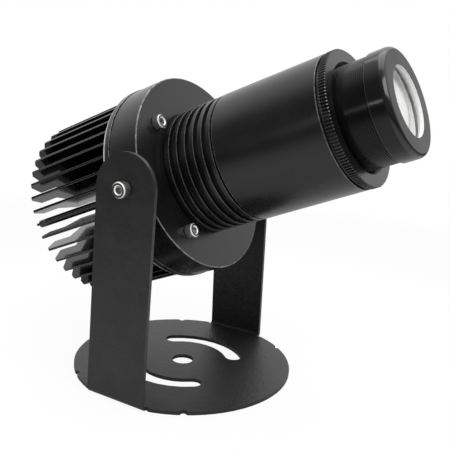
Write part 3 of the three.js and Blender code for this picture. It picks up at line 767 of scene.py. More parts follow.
@dataclass(frozen=True)
class BareMetal(Surface):
    """Bare steel as a tool leaves it: a slightly blurred reflection, with faint scratches drawn coarse."""

    colour: str = "#c9c9c7"
    shade: str = "#9c9b98"
    roughness: float = 0.2
    smoother: float = 0.0
    rougher: float = 0.1
    grain_size: float = 0.4
    grain_depth: float = 0.004
    patch_size: float = grain_size * 6
    gloss_size: float = patch_size
    gloss_detail: int = 2

    def own(self, pattern: Pattern) -> dict[str, Any]:
        """Makes it metal all over."""
        return {"Metallic": 1.0}


@dataclass(frozen=True)
class Moulded(Surface):
    """A moulded or coated part, such as black nylon, rubber or enamel: even colour and a fine texture."""

    gloss_detail: int = 2


@dataclass(frozen=True)
class OpticalGlass:
    """Polished crown glass: clear, with a trace of dust on it. Lamp light reaches what is behind it."""

    name: str
    index: float = 1.52
    clear: float = 1.0
    dust_size: float = 0.8
    dust_detail: int = 4
    dust: float = 0.012

    def build(self) -> Material:
        """Makes the material.

        Returns:
            The material.
        """
        material, tree = new_material(self.name)
        pattern = Pattern.over(tree, Space.AXIS)
        inputs = {
            "Base Color": linear(WHITE),
            "Roughness": pattern.wander(self.dust_size, 0, self.dust, self.dust_detail),
            "IOR": self.index,
            "Transmission Weight": self.clear,
        }
        solid = add_node(tree, "BsdfPrincipled", inputs).outputs["BSDF"]
        clear = add_node(tree, "BsdfTransparent", {}).outputs["BSDF"]
        shadow = add_node(tree, "LightPath", {}).outputs["Is Shadow Ray"]
        mixed = add_node(tree, "MixShader", {0: shadow, 1: solid, 2: clear}).outputs[0]
        add_node(tree, "OutputMaterial", {"Surface": mixed})
        return material


class Finish(Enum):
    """Every finish of the projector."""

    # Turned and anodised aluminium: near black, with soft satin bands along barrel, drum and neck
    ANODISED = Anodised("black_anodised_aluminium")
    # Finely turned before it was anodised: dark, with clear narrow streaks
    CAP = Anodised("gloss_black_anodised_aluminium", roughness=0.13, skin_index=1.375, mark_depth=0.002)
    # Faced flat across the cap's front: an even dark grey without a streak
    FACED = Anodised(
        "faced_anodised_front", roughness=0.3, skin_index=1.27, mark_depth=0.002, grain_depth=0.002
    )
    # The cap's rounded rim, burnished by hands: a bright line round the front
    RIM = Anodised("burnished_anodised_rim", roughness=0.16, skin_index=1.6, mark_depth=0.002)
    # A thread cut before anodising: the deepest black, with thin glints on its crests
    THREAD = Anodised(
        "anodised_fine_thread", "#09090a", "#0d0d0e", roughness=0.21, skin_index=1.35, mark_depth=0.001
    )
    # Smooth flat blades: they mirror each other and the white ground with sharp ends
    FIN = Anodised(
        "anodised_heat_sink", "#060607", "#0a0a0b", 0.13, skin_index=1.42, mark_depth=0.001, grain_depth=0.001
    )
    # An anodised edge rubbed through to the aluminium in places, with a painted highlight along it: a pale
    # broken line
    EDGE = EdgeWearAndHighlight("worn_and_highlit_anodised_edge")
    # The ribs' edges, hardly rubbed, with a painted highlight: a dull grey line
    RIB_EDGE = EdgeWearAndHighlight("rubbed_rib_edge_painted_highlight", "#2c2c30", "#68686c", least_metal=0.1, most_metal=0.6)
    # The barrel's nose and the lock ring's rims, handled more, with a painted highlight: a middle grey line
    NOSE_EDGE = EdgeWearAndHighlight("rubbed_nose_edge_painted_highlight", "#333337", "#86868a", least_metal=0.3, most_metal=0.8)
    # The knurl's crests, polished by fingers, with a painted glint on each tooth
    CREST = EdgeWearAndHighlight("rubbed_knurl_crest_painted_glint", "#17171a", "#3c3c40", least_metal=0.1, most_metal=0.4)
    # A chamfer turned after anodising: bare aluminium with a painted highlight, a pale ring without a mirror
    # image
    CHAMFER = EdgeWearAndHighlight("turned_chamfer_painted_highlight", "#c4c4c6", "#e4e4e6", 0.4, least_metal=0.05, most_metal=0.3)
    # Powder sprayed on steel sheet and baked: matte black with a leathery grain
    POWDER = PowderCoat("black_powder_coat")
    # The same coat, thin on the sheet's cut edges: a grey outline
    POWDER_EDGE = EdgeWearAndHighlight("worn_powder_coat_edge", "#3a3a3c", "#606063", 0.4, space=Space.ROW)
    # Cold-headed stainless steel: grey metal with a blurred reflection
    STAINLESS = BareMetal("stainless_steel", roughness=0.35)
    # The screws' chamfers and socket mouths, blasted, with a painted highlight: nearly white rings
    STAINLESS_EDGE = EdgeWearAndHighlight("blasted_stainless_edge_painted_highlight", "#f6f6f4", WHITE, least_metal=0.1, most_metal=0.3)
    # The screws' flat tops, in a darker metal as a painted dark reflection: darker than their rims
    STAINLESS_FACE = BareMetal("stainless_face_painted_dark_reflection", "#6c6b69", "#585755", 0.3)
    # White enamel baked on the tube's bore, as painted light seen through the lens: it fills the lens with
    # light
    BRIGHT = Moulded("white_enamel_painted_light", "#fafaf8", "#f3f3f1", 0.35, grain_depth=0.0005)
    # Injection-moulded nylon: satin black with a fine mould texture
    NYLON = Moulded("black_nylon", "#161617", "#1d1d1e", 0.5)
    # Moulded rubber: dull black that hardly shines
    RUBBER = Moulded("black_rubber", "#121212", "#191919", 0.8)
    # A lead's extruded vinyl jacket: even red with a soft shine
    RED_WIRE = Moulded("red_wire_jacket", "#9c1b18", "#a92420", 0.45)
    # A circuit board's printed and cured mask: even white with a slight shine
    BOARD = Moulded("white_solder_mask", "#e6e6e1", "#dcdcd6", 0.4)
    # Silicone cast over the light source: deep yellow and glossy
    PHOSPHOR = Moulded("phosphor_silicone", "#e3c244", "#d6b33a", 0.3)
    # Ground and polished crown glass: clear, with sharp reflections
    GLASS = OpticalGlass("crown_glass")
    # The front lens, with a milky white share as painted light, over the bright bore
    HAZED_GLASS = OpticalGlass("milky_crown_glass_painted_light", clear=0.56)

    @cache
    def material(self) -> Material:
        """Makes the finish's material when it is first needed."""
        return self.value.build()


def dress(piece: Piece, *finishes: Finish) -> None:
    """Gives a piece its finishes.

    Args:
        piece: the piece.
        finishes: the first for its faces, the second for its softened edges, and more to paint with.
    """
    piece.data.materials.clear()
    for finish in finishes:
        piece.data.materials.append(finish.material())


def paint(piece: Piece, chosen: Callable[[Face], bool], finish: Finish) -> None:
    """Gives some of a piece's faces another of its finishes.

    Args:
        piece: the piece, dressed in the finish among others.
        chosen: the test that the faces pass.
        finish: the finish.
    """
    select(piece, MeshPart.FACES, chosen)
    piece.active_material_index = piece.data.materials.find(finish.material().name)
    bpy.ops.object.material_slot_assign()
    bpy.ops.object.mode_set(mode="OBJECT")


def place_in_frame(piece: Piece, node: str, body: Body = Body.HEAD) -> None:
    """Makes a finished piece ride on its body in place of the CAD node that it shows.

    Args:
        piece: the piece.
        node: the CAD node that it replaces.
        body: the body that carries it.
    """
    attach(piece, body.value)
    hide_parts(node)
    log.info("%s: %d faces, rides on %s", piece.name, len(piece.data.polygons), body.value)


# Sub-assemblies


@dataclass
class Bracket:
    """The bent sheet that stands on the ground and carries the head between its arms."""

    edge_round: float = 0.4
    flat_angle: float = math.radians(0.5)
    arms_from: float = 5.0
    sheet_normal: float = 0.8

    def cut(self, face: Face) -> bool:
        """Tells whether a face is on the cut edge of an arm, where the coat is thin."""
        return face.center.z > mm(self.arms_from) and abs(face.normal.x) < self.sheet_normal

    def build(self) -> None:
        """Copies the sheet from the frame, merges its faces and rounds its cut edges."""
        sheet = copy_of(frame["nodes"]["yoke_bracket"], "bent_yoke_bracket")
        sheet.parent = None
        for key in list(sheet.keys()):
            del sheet[key]
        dress(sheet, Finish.POWDER, Finish.POWDER_EDGE)
        edit(sheet)
        bpy.ops.mesh.remove_doubles(threshold=mm(MERGE_REACH))
        bpy.ops.mesh.dissolve_limited(angle_limit=self.flat_angle)
        soften(sheet, self.edge_round)
        paint(sheet, self.cut, Finish.POWDER_EDGE)
        place_in_frame(sheet, "yoke_bracket", Body.BRACKET)


@dataclass
class HeatSink:
    """The round plate and its crown of stepped blades, with a screw boss on two of them."""

    plate_thickness: float = 4.3
    plate_round: float = 0.2
    rim_chamfer: float = 0.7
    chamfer_length: float = 1.5
    chamfer_least: float = 0.3
    chamfer_most: float = 0.6
    blades: int = 42
    first_blade: float = math.radians(2.2)
    blade_thickness: float = 1.3
    rim_inset: float = 2.6
    tip_depth: float = 10.2
    tip_length: float = 12.0
    tip_slope: float = 1.4
    corner: float = 2.4
    pocket_radius: float = 25.0
    root_overlap: float = 2.0
    root_tolerance: float = 0.1
    inward_normal: float = -0.9
    blade_round: float = 0.22
    bosses: int = 2
    boss_radius: float = 2.0
    boss_inset: float = 5.8
    boss_shortfall: float = 1.2
    boss_steps: int = 24
    gland_hole: float = 3.05
    gland_drop: float = 17.5
    steps: int = 144
    span: Span = field(init=False)
    plate_back: float = field(init=False)
    outer: float = field(init=False)

    def __post_init__(self) -> None:
        """Reads the crown's reach from the frame."""
        self.span = AXIS.span("heat_sink")
        self.plate_back = self.span.front - self.plate_thickness
        self.outer = self.span.radius - self.rim_inset

    def plate(self) -> Piece:
        """Turns the plate with its bare rear chamfer, painted pale as a highlight, and drills the gland's
        hole.

        Returns:
            The plate, still level.
        """
        span, back = self.span, self.plate_back
        rim = span.radius - self.rim_chamfer
        outline = [(0, back), (rim, back), (span.radius, back + self.chamfer_length)]
        outline += [(span.radius, span.front), (0, span.front)]
        plate = turn("heat_sink_plate", outline, self.steps, closed=False)
        dress(plate, Finish.ANODISED, Finish.EDGE, Finish.CHAMFER)
        soften(plate, self.plate_round)
        # the rear chamfer gets a pale painted highlight
        paint(plate, Zone(beyond=rim, least=self.chamfer_least, most=self.chamfer_most), Finish.CHAMFER)
        hole = prism("gland_drill", self.boss_steps, self.gland_hole, back - OVERRUN, span.front + OVERRUN)
        move(hole, Vector((0, 0, -mm(self.gland_drop))))
        drill(plate, [hole])
        smooth(plate)
        return plate

    def blade(self) -> Piece:
        """Shapes one blade above the axis, with its stepped inner edge, sloped tip and cut corner.

        Returns:
            The blade, still level.
        """
        root = self.plate_back + self.root_overlap
        middle = self.outer - self.tip_depth / 2
        pick()
        bpy.ops.mesh.primitive_cube_add(
            size=1,
            location=(0, -mm((root + self.span.back) / 2), mm(middle)),
            scale=(mm(self.blade_thickness), mm(root - self.span.back), mm(self.tip_depth)),
        )
        blade = bpy.context.active_object
        blade.name = "heat_sink_blade"
        bpy.ops.object.transform_apply(location=True, rotation=True, scale=True)
        self.add_root(blade)
        self.trim(blade)
        dress(blade, Finish.FIN, Finish.RIB_EDGE)
        soften(blade, self.blade_round)
        return blade

    def add_root(self, blade: Piece) -> None:
        """Cuts the inner edge at the step and draws its front part in to the pocket.

        Args:
            blade: the plain blade.
        """
        edit(blade)
        step = mm(-self.span.back - self.tip_length)
        bpy.ops.mesh.bisect(plane_co=(0, step, 0), plane_no=(0, 1, 0))
        inner = mm(self.outer - self.tip_depth)

        def at_root(face: Face) -> bool:
            """Tells whether a face is the inner edge in front of the step."""
            on_edge = abs(face.center.z - inner) < mm(self.root_tolerance)
            return on_edge and face.normal.z < self.inward_normal and face.center.y < step

        select(blade, MeshPart.FACES, at_root)
        depth = self.outer - self.tip_depth - self.pocket_radius
        bpy.ops.mesh.extrude_region_move(TRANSFORM_OT_translate={"value": (0, 0, -mm(depth))})

    def trim(self, blade: Piece) -> None:
        """Slopes the tip and cuts the outer corner.

        Args:
            blade: the blade with its root.
        """
        slope = Vector((0, self.tip_depth - self.corner, self.tip_slope)).normalized()
        corner = Vector((0, 1, 1)).normalized()
        tip_place = Vector((0, -mm(self.span.back), mm(self.outer - self.tip_depth)))
        corner_place = Vector((0, -mm(self.span.back + self.tip_slope), mm(self.outer - self.corner)))
        for place, normal in ((tip_place, slope), (corner_place, corner)):
            edit(blade)
            bpy.ops.mesh.bisect(plane_co=place, plane_no=normal, use_fill=True, clear_outer=True)

    def boss(self, angle: float) -> Piece:
        """Turns the round boss that runs along a blade for a cover's screw.

        Args:
            angle: the blade's place round the axis.

        Returns:
            The boss, still level.
        """
        back = self.span.back + self.boss_shortfall
        front = self.plate_back + self.root_overlap
        outline = [(0, back), (self.boss_radius, back), (self.boss_radius, front), (0, front)]
        boss = turn("heat_sink_boss", outline, self.boss_steps, closed=False)
        dress(boss, Finish.FIN, Finish.RIB_EDGE)
        soften(boss, self.blade_round)
        move(boss, round_axis(self.outer - self.boss_inset, angle))
        return boss

    def build(self) -> None:
        """Sets the blades round the plate and lays the whole on the axis."""
        pieces = [self.plate()]
        pattern = self.blade()
        for angle in even_angles(self.blades, self.first_blade):
            blade = copy_of(pattern, "heat_sink_blade_copy")
            swing(blade, QUARTER_TURN - angle, "Y")
            pieces.append(blade)
        bpy.data.objects.remove(pattern)
        pieces += [self.boss(angle) for angle in even_angles(self.bosses, self.first_blade)]
        whole = join("finned_heat_sink", pieces)
        AXIS.lay(whole)
        place_in_frame(whole, "heat_sink")


@dataclass
class TurnedPiece:
    """A piece that is turned about the optical axis and stands for one CAD node."""

    node: str
    name: str
    body: Body = Body.HEAD
    slot: Slot = Slot.ANODISED
    looks: Sequence[Finish] = (Finish.ANODISED, Finish.EDGE)
    edge_round: float = 0.35
    steps: int = 144
    closed: bool = True
    span: Span = field(init=False)

    def __post_init__(self) -> None:
        """Reads the piece's reach from the frame."""
        self.span = AXIS.span(self.node)

    def outline(self) -> list[Point]:
        """Gives the piece's outline: a plain ring unless a kind of piece says otherwise."""
        bore, radius, back, front = self.span.bore, self.span.radius, self.span.back, self.span.front
        return [(bore, back), (radius, back), (radius, front), (bore, front)]

    def without_wear_or_highlight(self, face: Face) -> bool:
        """Tells whether a face is too far in for hands and tools to rub it, and so gets no painted highlight
        either.
        """
        return off_axis(face.center) <= mm(self.span.radius - 2 * self.edge_round)

    def shape(self, piece: Piece) -> None:
        """Works on the turned piece once its edges are softened, where a kind of piece needs it."""

    def build(self) -> None:
        """Turns, dresses, shapes and places the piece."""
        piece = turn(self.name, self.outline(), self.steps, self.closed)
        dress(piece, *self.looks)
        if self.edge_round > 0:
            soften(piece, self.edge_round)
            # faces deep in keep the plain finish, without the edge's wear and painted highlight
            paint(piece, self.without_wear_or_highlight, self.looks[0])
        self.shape(piece)
        smooth(piece)
        AXIS.lay(piece)
        place_in_frame(piece, self.node, self.body)


@dataclass
class LampHousing(TurnedPiece):
    """The drum behind the flange, spot-faced at its sides for the pivots."""

    node: str = "lamp_housing"
    name: str = "turned_lamp_housing"
    edge_round: float = 0.5
    front_wall: float = 8.3
    bore: float = 29.3
    cavity: float = 31.5
    spotface_depth: float = 0.6
    spotface_radius: float = 6.3
    mill_length: float = 5.0
    screw_hole: float = 2.3
    screw_circle: float = 39.0
    screw_phase: float = math.radians(45)
    screws: int = 4
    drill_steps: int = 48

    def outline(self) -> list[Point]:
        """Outlines the drum's wall and its front flange.

        Returns:
            The outline's points.
        """
        span = self.span
        wall = span.front - self.front_wall
        points = [(self.cavity, span.back), (span.radius, span.back), (span.radius, span.front)]
        return points + [(self.bore, span.front), (self.bore, wall), (self.cavity, wall)]

    def shape(self, piece: Piece) -> None:
        """Cuts the screw holes and the two spot faces.

        Args:
            piece: the drum.
        """
        back, front = self.span.back - OVERRUN, self.span.front + OVERRUN
        cutters = []
        for angle in even_angles(self.screws, self.screw_phase):
            cutter = prism("screw_drill", self.drill_steps, self.screw_hole, back, front)
            move(cutter, round_axis(self.screw_circle, angle))
            cutters.append(cutter)
        seat = self.span.radius - self.spotface_depth
        for side in (-1, 1):
            end = seat + self.mill_length
            cutter = prism("spotface_mill", self.drill_steps, self.spotface_radius, seat, end)
            swing(cutter, side * QUARTER_TURN, "Z")
            cutters.append(cutter)
        drill(piece, cutters)


@dataclass
class RibbedNeck(TurnedPiece):
    """The neck between the flange and the barrel, with its cooling ribs."""

    node: str = "ribbed_neck"
    name: str = "turned_ribbed_neck"
    looks: Sequence[Finish] = (Finish.ANODISED, Finish.RIB_EDGE)
    edge_round: float = 0.28
    spigot: float = 29.0
    collar: float = 31.6
    collar_width: float = 1.3
    spigot_length: float = 7.8
    ribs: int = 6
    rib_pitch: float = 4.97
    rib_width: float = 2.4
    groove_depth: float = 2.4
    last_groove: float = 0.7
    front_spigot: float = 28.2
    bore: float = 26.0

    def without_wear_or_highlight(self, face: Face) -> bool:
        """Keeps the rub marks and the painted highlights to the ribs' front edges."""
        return face.normal.y >= 0 or super().without_wear_or_highlight(face)

    def outline(self) -> list[Point]:
        """Outlines the spigots, the collar and the ribs.

        Returns:
            The outline's points.
        """
        span = self.span
        shoulder = span.back + self.spigot_length
        ribs_back = shoulder + self.collar_width
        root = span.radius - self.groove_depth
        points = [(self.bore, span.back), (self.spigot, span.back), (self.spigot, shoulder)]
        points += [(self.collar, shoulder), (self.collar, ribs_back)]
        for number in range(self.ribs):
            back = ribs_back + number * self.rib_pitch
            front = back + self.rib_width
            if number > 0:
                points.append((root, back))
            points += [(span.radius, back), (span.radius, front), (root, front)]
        end = ribs_back + (self.ribs - 1) * self.rib_pitch + self.rib_width + self.last_groove
        points += [(root, end), (self.front_spigot, end)]
        return points + [(self.front_spigot, span.front), (self.bore, span.front)]


@dataclass
class Barrel(TurnedPiece):
    """The plain barrel that guides the focus tube."""

    node: str = "barrel"
    name: str = "turned_barrel"
    looks: Sequence[Finish] = (Finish.ANODISED, Finish.NOSE_EDGE)
    edge_round: float = 0.5
    bore: float = 28.5
    web_bore: float = 24.9
    web_width: float = 8.0
    nose_drop: float = 1.5
    nose_length: float = 0.9

    def outline(self) -> list[Point]:
        """Outlines the barrel's wall, its front web and its nose.

        Returns:
            The outline's points.
        """
        span = self.span
        front = span.front - self.nose_length
        nose = span.radius - self.nose_drop
        web = front - self.web_width
        points = [(self.bore, span.back), (span.radius, span.back), (span.radius, front), (nose, front)]
        points += [(nose, span.front), (self.web_bore, span.front)]
        return points + [(self.web_bore, web), (self.bore, web)]


@dataclass
class LockRing(TurnedPiece):
    """The knurled ring that jams against the barrel's nose, with rubbed crests and rims that carry a painted
    glint and highlight.
    """

    node: str = "lock_ring"
    name: str = "knurled_lock_ring"
    body: Body = Body.LOCK
    looks: Sequence[Finish] = (Finish.ANODISED, Finish.CREST, Finish.NOSE_EDGE)
    edge_round: float = 0.0
    teeth: int = 132
    steps_per_tooth: int = 4
    tooth_depth: float = 0.75
    crest_share: float = 0.995
    rim_chamfer: float = 0.4
    rim_normal: float = 0.4
    bore: float = 24.9
    bore_chamfer: float = 1.6

    def __post_init__(self) -> None:
        """Gives each tooth its facets."""
        super().__post_init__()
        self.steps = self.steps_per_tooth * self.teeth

    def outline(self) -> list[Point]:
        """Outlines the ring, with chamfered rims and mouth.

        Returns:
            The outline's points.
        """
        span = self.span
        rim = span.radius - self.rim_chamfer
        mouth = self.bore + self.bore_chamfer
        points = [(self.bore, span.back), (rim, span.back), (span.radius, span.back + self.rim_chamfer)]
        points += [(span.radius, span.front - self.rim_chamfer), (rim, span.front)]
        return points + [(mouth, span.front), (self.bore, span.front - self.bore_chamfer)]

    def shape(self, piece: Piece) -> None:
        """Cuts the knurl, and paints its crests and the rims of the teeth paler, as rubbed metal with a
        painted glint and highlight.

        Args:
            piece: the ring.
        """
        radius = self.span.radius
        rim = radius - self.rim_chamfer
        notch_rim(piece, self.steps, self.steps_per_tooth, radius, self.tooth_depth)
        # paler crests and rims: rubbed metal with a painted glint and highlight
        paint(piece, Zone(beyond=radius * self.crest_share), Finish.CREST)
        for zone in (Zone(beyond=rim, most=-self.rim_normal), Zone(beyond=rim, least=self.rim_normal)):
            paint(piece, zone, Finish.NOSE_EDGE)


@dataclass
class FocusTube(TurnedPiece):
    """The tube that carries the lenses, with its fine thread, and its bore enamelled white as painted light
    for the lens.
    """

    node: str = "focus_tube"
    name: str = "threaded_focus_tube"
    body: Body = Body.FOCUS
    looks: Sequence[Finish] = (Finish.THREAD, Finish.BRIGHT)
    edge_round: float = 0.0
    spigot_drop: float = 1.4
    spigot_length: float = 5.6
    thread_reach: float = 30.0
    thread_pitch: float = 1.0
    thread_depth: float = 0.22
    thread_flat: float = 0.42
    thread_flank: float = 0.14
    seat: float = 21.2
    inside_share: float = 1.01
    bore: float = 19.5
    front_seat: float = 8.2
    rear_seat: float = 13.0

    def shape(self, piece: Piece) -> None:
        """Enamels the bore and the lens seats white, as painted light for the lens."""
        paint(piece, Zone(within=self.seat * self.inside_share), Finish.BRIGHT)

    def outline(self) -> list[Point]:
        """Outlines the tube, with its thread as rings, drawn a little coarser than it is so that it shows.

        Returns:
            The outline's points.
        """
        span = self.span
        step = span.front - self.spigot_length
        turns = round(self.thread_reach / self.thread_pitch)
        first = step - turns * self.thread_pitch
        floor = span.radius - self.thread_depth
        spigot = span.radius - self.spigot_drop
        front_seat, rear_seat = span.front - self.front_seat, span.back + self.rear_seat
        points = [(self.seat, span.back), (span.radius, span.back), (span.radius, first)]
        for number in range(turns):
            crest = first + number * self.thread_pitch
            flat_end, next_crest = crest + self.thread_flat, crest + self.thread_pitch
            points += [(span.radius, flat_end), (floor, flat_end + self.thread_flank)]
            points += [(floor, next_crest - self.thread_flank), (span.radius, next_crest)]
        points += [(spigot, step), (spigot, span.front), (self.seat, span.front), (self.seat, front_seat)]
        return points + [(self.bore, front_seat), (self.bore, rear_seat), (self.seat, rear_seat)]


@dataclass
class FrontCap(TurnedPiece):
    """The glossy cap that holds the front lens, with a duller front, and white enamel inside as painted light
    for the lens.
    """

    node: str = "front_cap"
    name: str = "turned_front_cap"
    body: Body = Body.FOCUS
    looks: Sequence[Finish] = (Finish.CAP, Finish.RIB_EDGE, Finish.BRIGHT, Finish.RIM, Finish.FACED)
    edge_round: float = 0.2
    corner: float = 2.0
    corner_length: float = 3.2
    corner_steps: int = 10
    skirt: float = 23.5
    lip_back: float = 5.9
    opening: float = 16.5
    opening_flare: float = 1.6
    inside_share: float = 1.005
    wall_normal: float = -0.05
    front_normal: float = -0.99

    def outline(self) -> list[Point]:
        """Outlines the skirt, the rounded front and the lip's opening.

        Returns:
            The outline's points.
        """
        span = self.span
        lip = span.back + self.lip_back
        flare = self.opening + self.opening_flare
        points = [(self.skirt, span.back), (span.radius, span.back)]
        points += round_corner(span.radius, span.front, self.corner, self.corner_length, self.corner_steps)
        points += [(self.opening, span.front), (self.opening, lip + self.opening_flare)]
        return points + [(flare, lip), (self.skirt, lip)]

    def shape(self, piece: Piece) -> None:
        """Enamels the inside of the opening white as painted light, burnishes the rounded rim and faces the
        front.

        Args:
            piece: the cap.
        """
        inside = (self.opening + self.opening_flare) * self.inside_share
        paint(piece, Zone(within=inside), Finish.BRIGHT)
        paint(piece, Zone(least=self.front_normal, most=self.wall_normal), Finish.RIM)
        paint(piece, Zone(beyond=inside, most=self.front_normal), Finish.FACED)


@dataclass
class BrightRing(TurnedPiece):
    """A white enamelled ring that holds a lens in the focus tube, as painted light for the lens."""

    body: Body = Body.FOCUS
    looks: Sequence[Finish] = (Finish.BRIGHT, Finish.BRIGHT)
    edge_round: float = 0.2


@dataclass
class Lens(TurnedPiece):
    """A polished lens with one domed face and one flat face."""

    node: str = "front_lens"
    name: str = "domed_front_lens"
    body: Body = Body.FOCUS
    slot: Slot = Slot.GLASS
    looks: Sequence[Finish] = (Finish.HAZED_GLASS,)
    edge_round: float = 0.0
    closed: bool = False
    edge: float = 3.0
    faces_front: bool = True
    dome_steps: int = 24

    def outline(self) -> list[Point]:
        """Outlines the flat face, the edge and the dome.

        Returns:
            The outline's points.
        """
        span = self.span
        bulge = span.front - span.back - self.edge
        sphere = (span.radius**2 + bulge**2) / (2 * bulge)
        rim = math.asin(span.radius / sphere)
        points = [(0.0, 0.0), (span.radius, 0.0)]
        for step in range(self.dome_steps + 1):
            angle = rim * (1 - step / self.dome_steps)
            rise = sphere * math.cos(angle) - (sphere - bulge)
            points.append((sphere * math.sin(angle), self.edge + rise))
        if self.faces_front:
            return [(radius, span.back + height) for radius, height in points]
        return [(radius, span.front - height) for radius, height in points]


@dataclass(frozen=True)
class CapScrew:
    """A socket-head screw, modelled once about the axis and copied to its places."""

    head_radius: float
    head_height: float
    shank_radius: float
    teeth: int = 26
    steps_per_tooth: int = 2
    tooth_depth: float = 0.2
    chamfer: float = 0.5
    socket_depth: float = 2.2
    socket_share: float = 0.5
    mouth_width: float = 0.45
    mouth_steps: int = 48
    slope_normal: float = -0.3
    flat_normal: float = -0.9

    def pattern(self, length: float) -> Piece:
        """Models the screw with its bearing face at station 0.

        Args:
            length: the shank's length.

        Returns:
            The screw, with its head in front.
        """
        steps = self.teeth * self.steps_per_tooth
        head, shank, top, mouth = self.head_radius, self.shank_radius, self.head_height, self.mouth_width
        outline = [(0, -length), (shank, -length), (shank, 0), (head, 0)]
        outline += [(head, top - self.chamfer), (head - self.chamfer, top), (0, top)]
        screw = turn("cap_screw", outline, steps, closed=False)
        notch_rim(screw, steps, self.steps_per_tooth, head, self.tooth_depth)
        hexagon = head * self.socket_share
        wide = hexagon + 2 * mouth
        cone = [(0, top - mouth), (hexagon, top - mouth), (wide, top + mouth), (0, top + mouth)]
        broach = prism("hex_broach", HEXAGON, hexagon, top - self.socket_depth, top + OVERRUN)
        drill(screw, [broach, turn("socket_countersink", cone, self.mouth_steps, closed=False)])
        dress(screw, Finish.STAINLESS, Finish.STAINLESS_EDGE, Finish.STAINLESS_FACE)
        # the chamfers and socket mouths get nearly white painted highlights
        slopes = Zone(ahead_of=0, least=self.flat_normal, most=self.slope_normal)
        paint(screw, slopes, Finish.STAINLESS_EDGE)
        # the flat top gets a darker metal as a painted dark reflection
        paint(screw, Zone(ahead_of=top - mouth / 2, most=self.flat_normal), Finish.STAINLESS_FACE)
        smooth(screw)
        return screw


@dataclass
class FlangeScrews:
    """The four screws through the flange."""

    maker: CapScrew = CapScrew(head_radius=3.55, head_height=4.0, shank_radius=2.0)
    shank_end: float = -13.3
    seat: float = 7.6
    circle: float = LampHousing.screw_circle
    phase: float = LampHousing.screw_phase
    head_turns: Sequence[float] = (0.1, 0.55, 0.3, 0.8)

    def build(self) -> None:
        """Sets a copy of the screw at each place."""
        pattern = self.maker.pattern(self.seat - self.shank_end)
        angles = even_angles(len(self.head_turns), self.phase)
        for number, (turned, angle) in enumerate(zip(self.head_turns, angles), 1):
            screw = copy_of(pattern, f"socket_head_flange_screw_{number}")
            swing(screw, turned, "Y")
            move(screw, round_axis(self.circle, angle, self.seat))
            AXIS.lay(screw)
            place_in_frame(screw, f"flange_screw_{number}")
        bpy.data.objects.remove(pattern)


@dataclass
class Pivots:
    """The screw and the spacer at each end of the tilt axis."""

    maker: CapScrew = CapScrew(head_radius=3.95, head_height=4.4, shank_radius=2.5)
    shank_end: float = 38.4
    spacer_round: float = 0.3
    spacer_bore: float = 2.8
    steps: int = 64

    def screw(self, word: str) -> Piece:
        """Makes one screw, from the frame's reach along X.

        Args:
            word: "left" or "right".

        Returns:
            The screw, pointing forwards.
        """
        low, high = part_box(f"{word}_pivot_screw")
        seat = to_mm(max(abs(low.x), abs(high.x))) - self.maker.head_height
        screw = self.maker.pattern(seat - self.shank_end)
        screw.name = f"socket_head_{word}_pivot_screw"
        move(screw, Vector((0, -mm(seat), 0)))
        return screw

    def spacer(self, word: str) -> Piece:
        """Makes one spacer between the drum and the arm.

        Args:
            word: "left" or "right".

        Returns:
            The spacer, facing forwards.
        """
        low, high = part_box(f"{word}_pivot_spacer")
        inner, outer = sorted(to_mm(abs(x)) for x in (low.x, high.x))
        radius = to_mm(high.z - low.z) / 2
        outline = [(self.spacer_bore, inner), (radius, inner), (radius, outer), (self.spacer_bore, outer)]
        spacer = turn(f"{word}_nylon_spacer", outline, self.steps)
        dress(spacer, Finish.NYLON, Finish.NYLON)
        soften(spacer, self.spacer_round)
        return spacer

    def build(self) -> None:
        """Makes both sides, each piece swung out to its side."""
        kinds = ((self.screw, "screw", Slot.STAINLESS), (self.spacer, "spacer", Slot.NYLON))
        for word, side in (("left", -1), ("right", 1)):
            for make, kind, slot in kinds:
                piece = make(word)
                swing(piece, side * QUARTER_TURN, "Z")
                AXIS.lay(piece)
                place_in_frame(piece, f"{word}_pivot_{kind}")


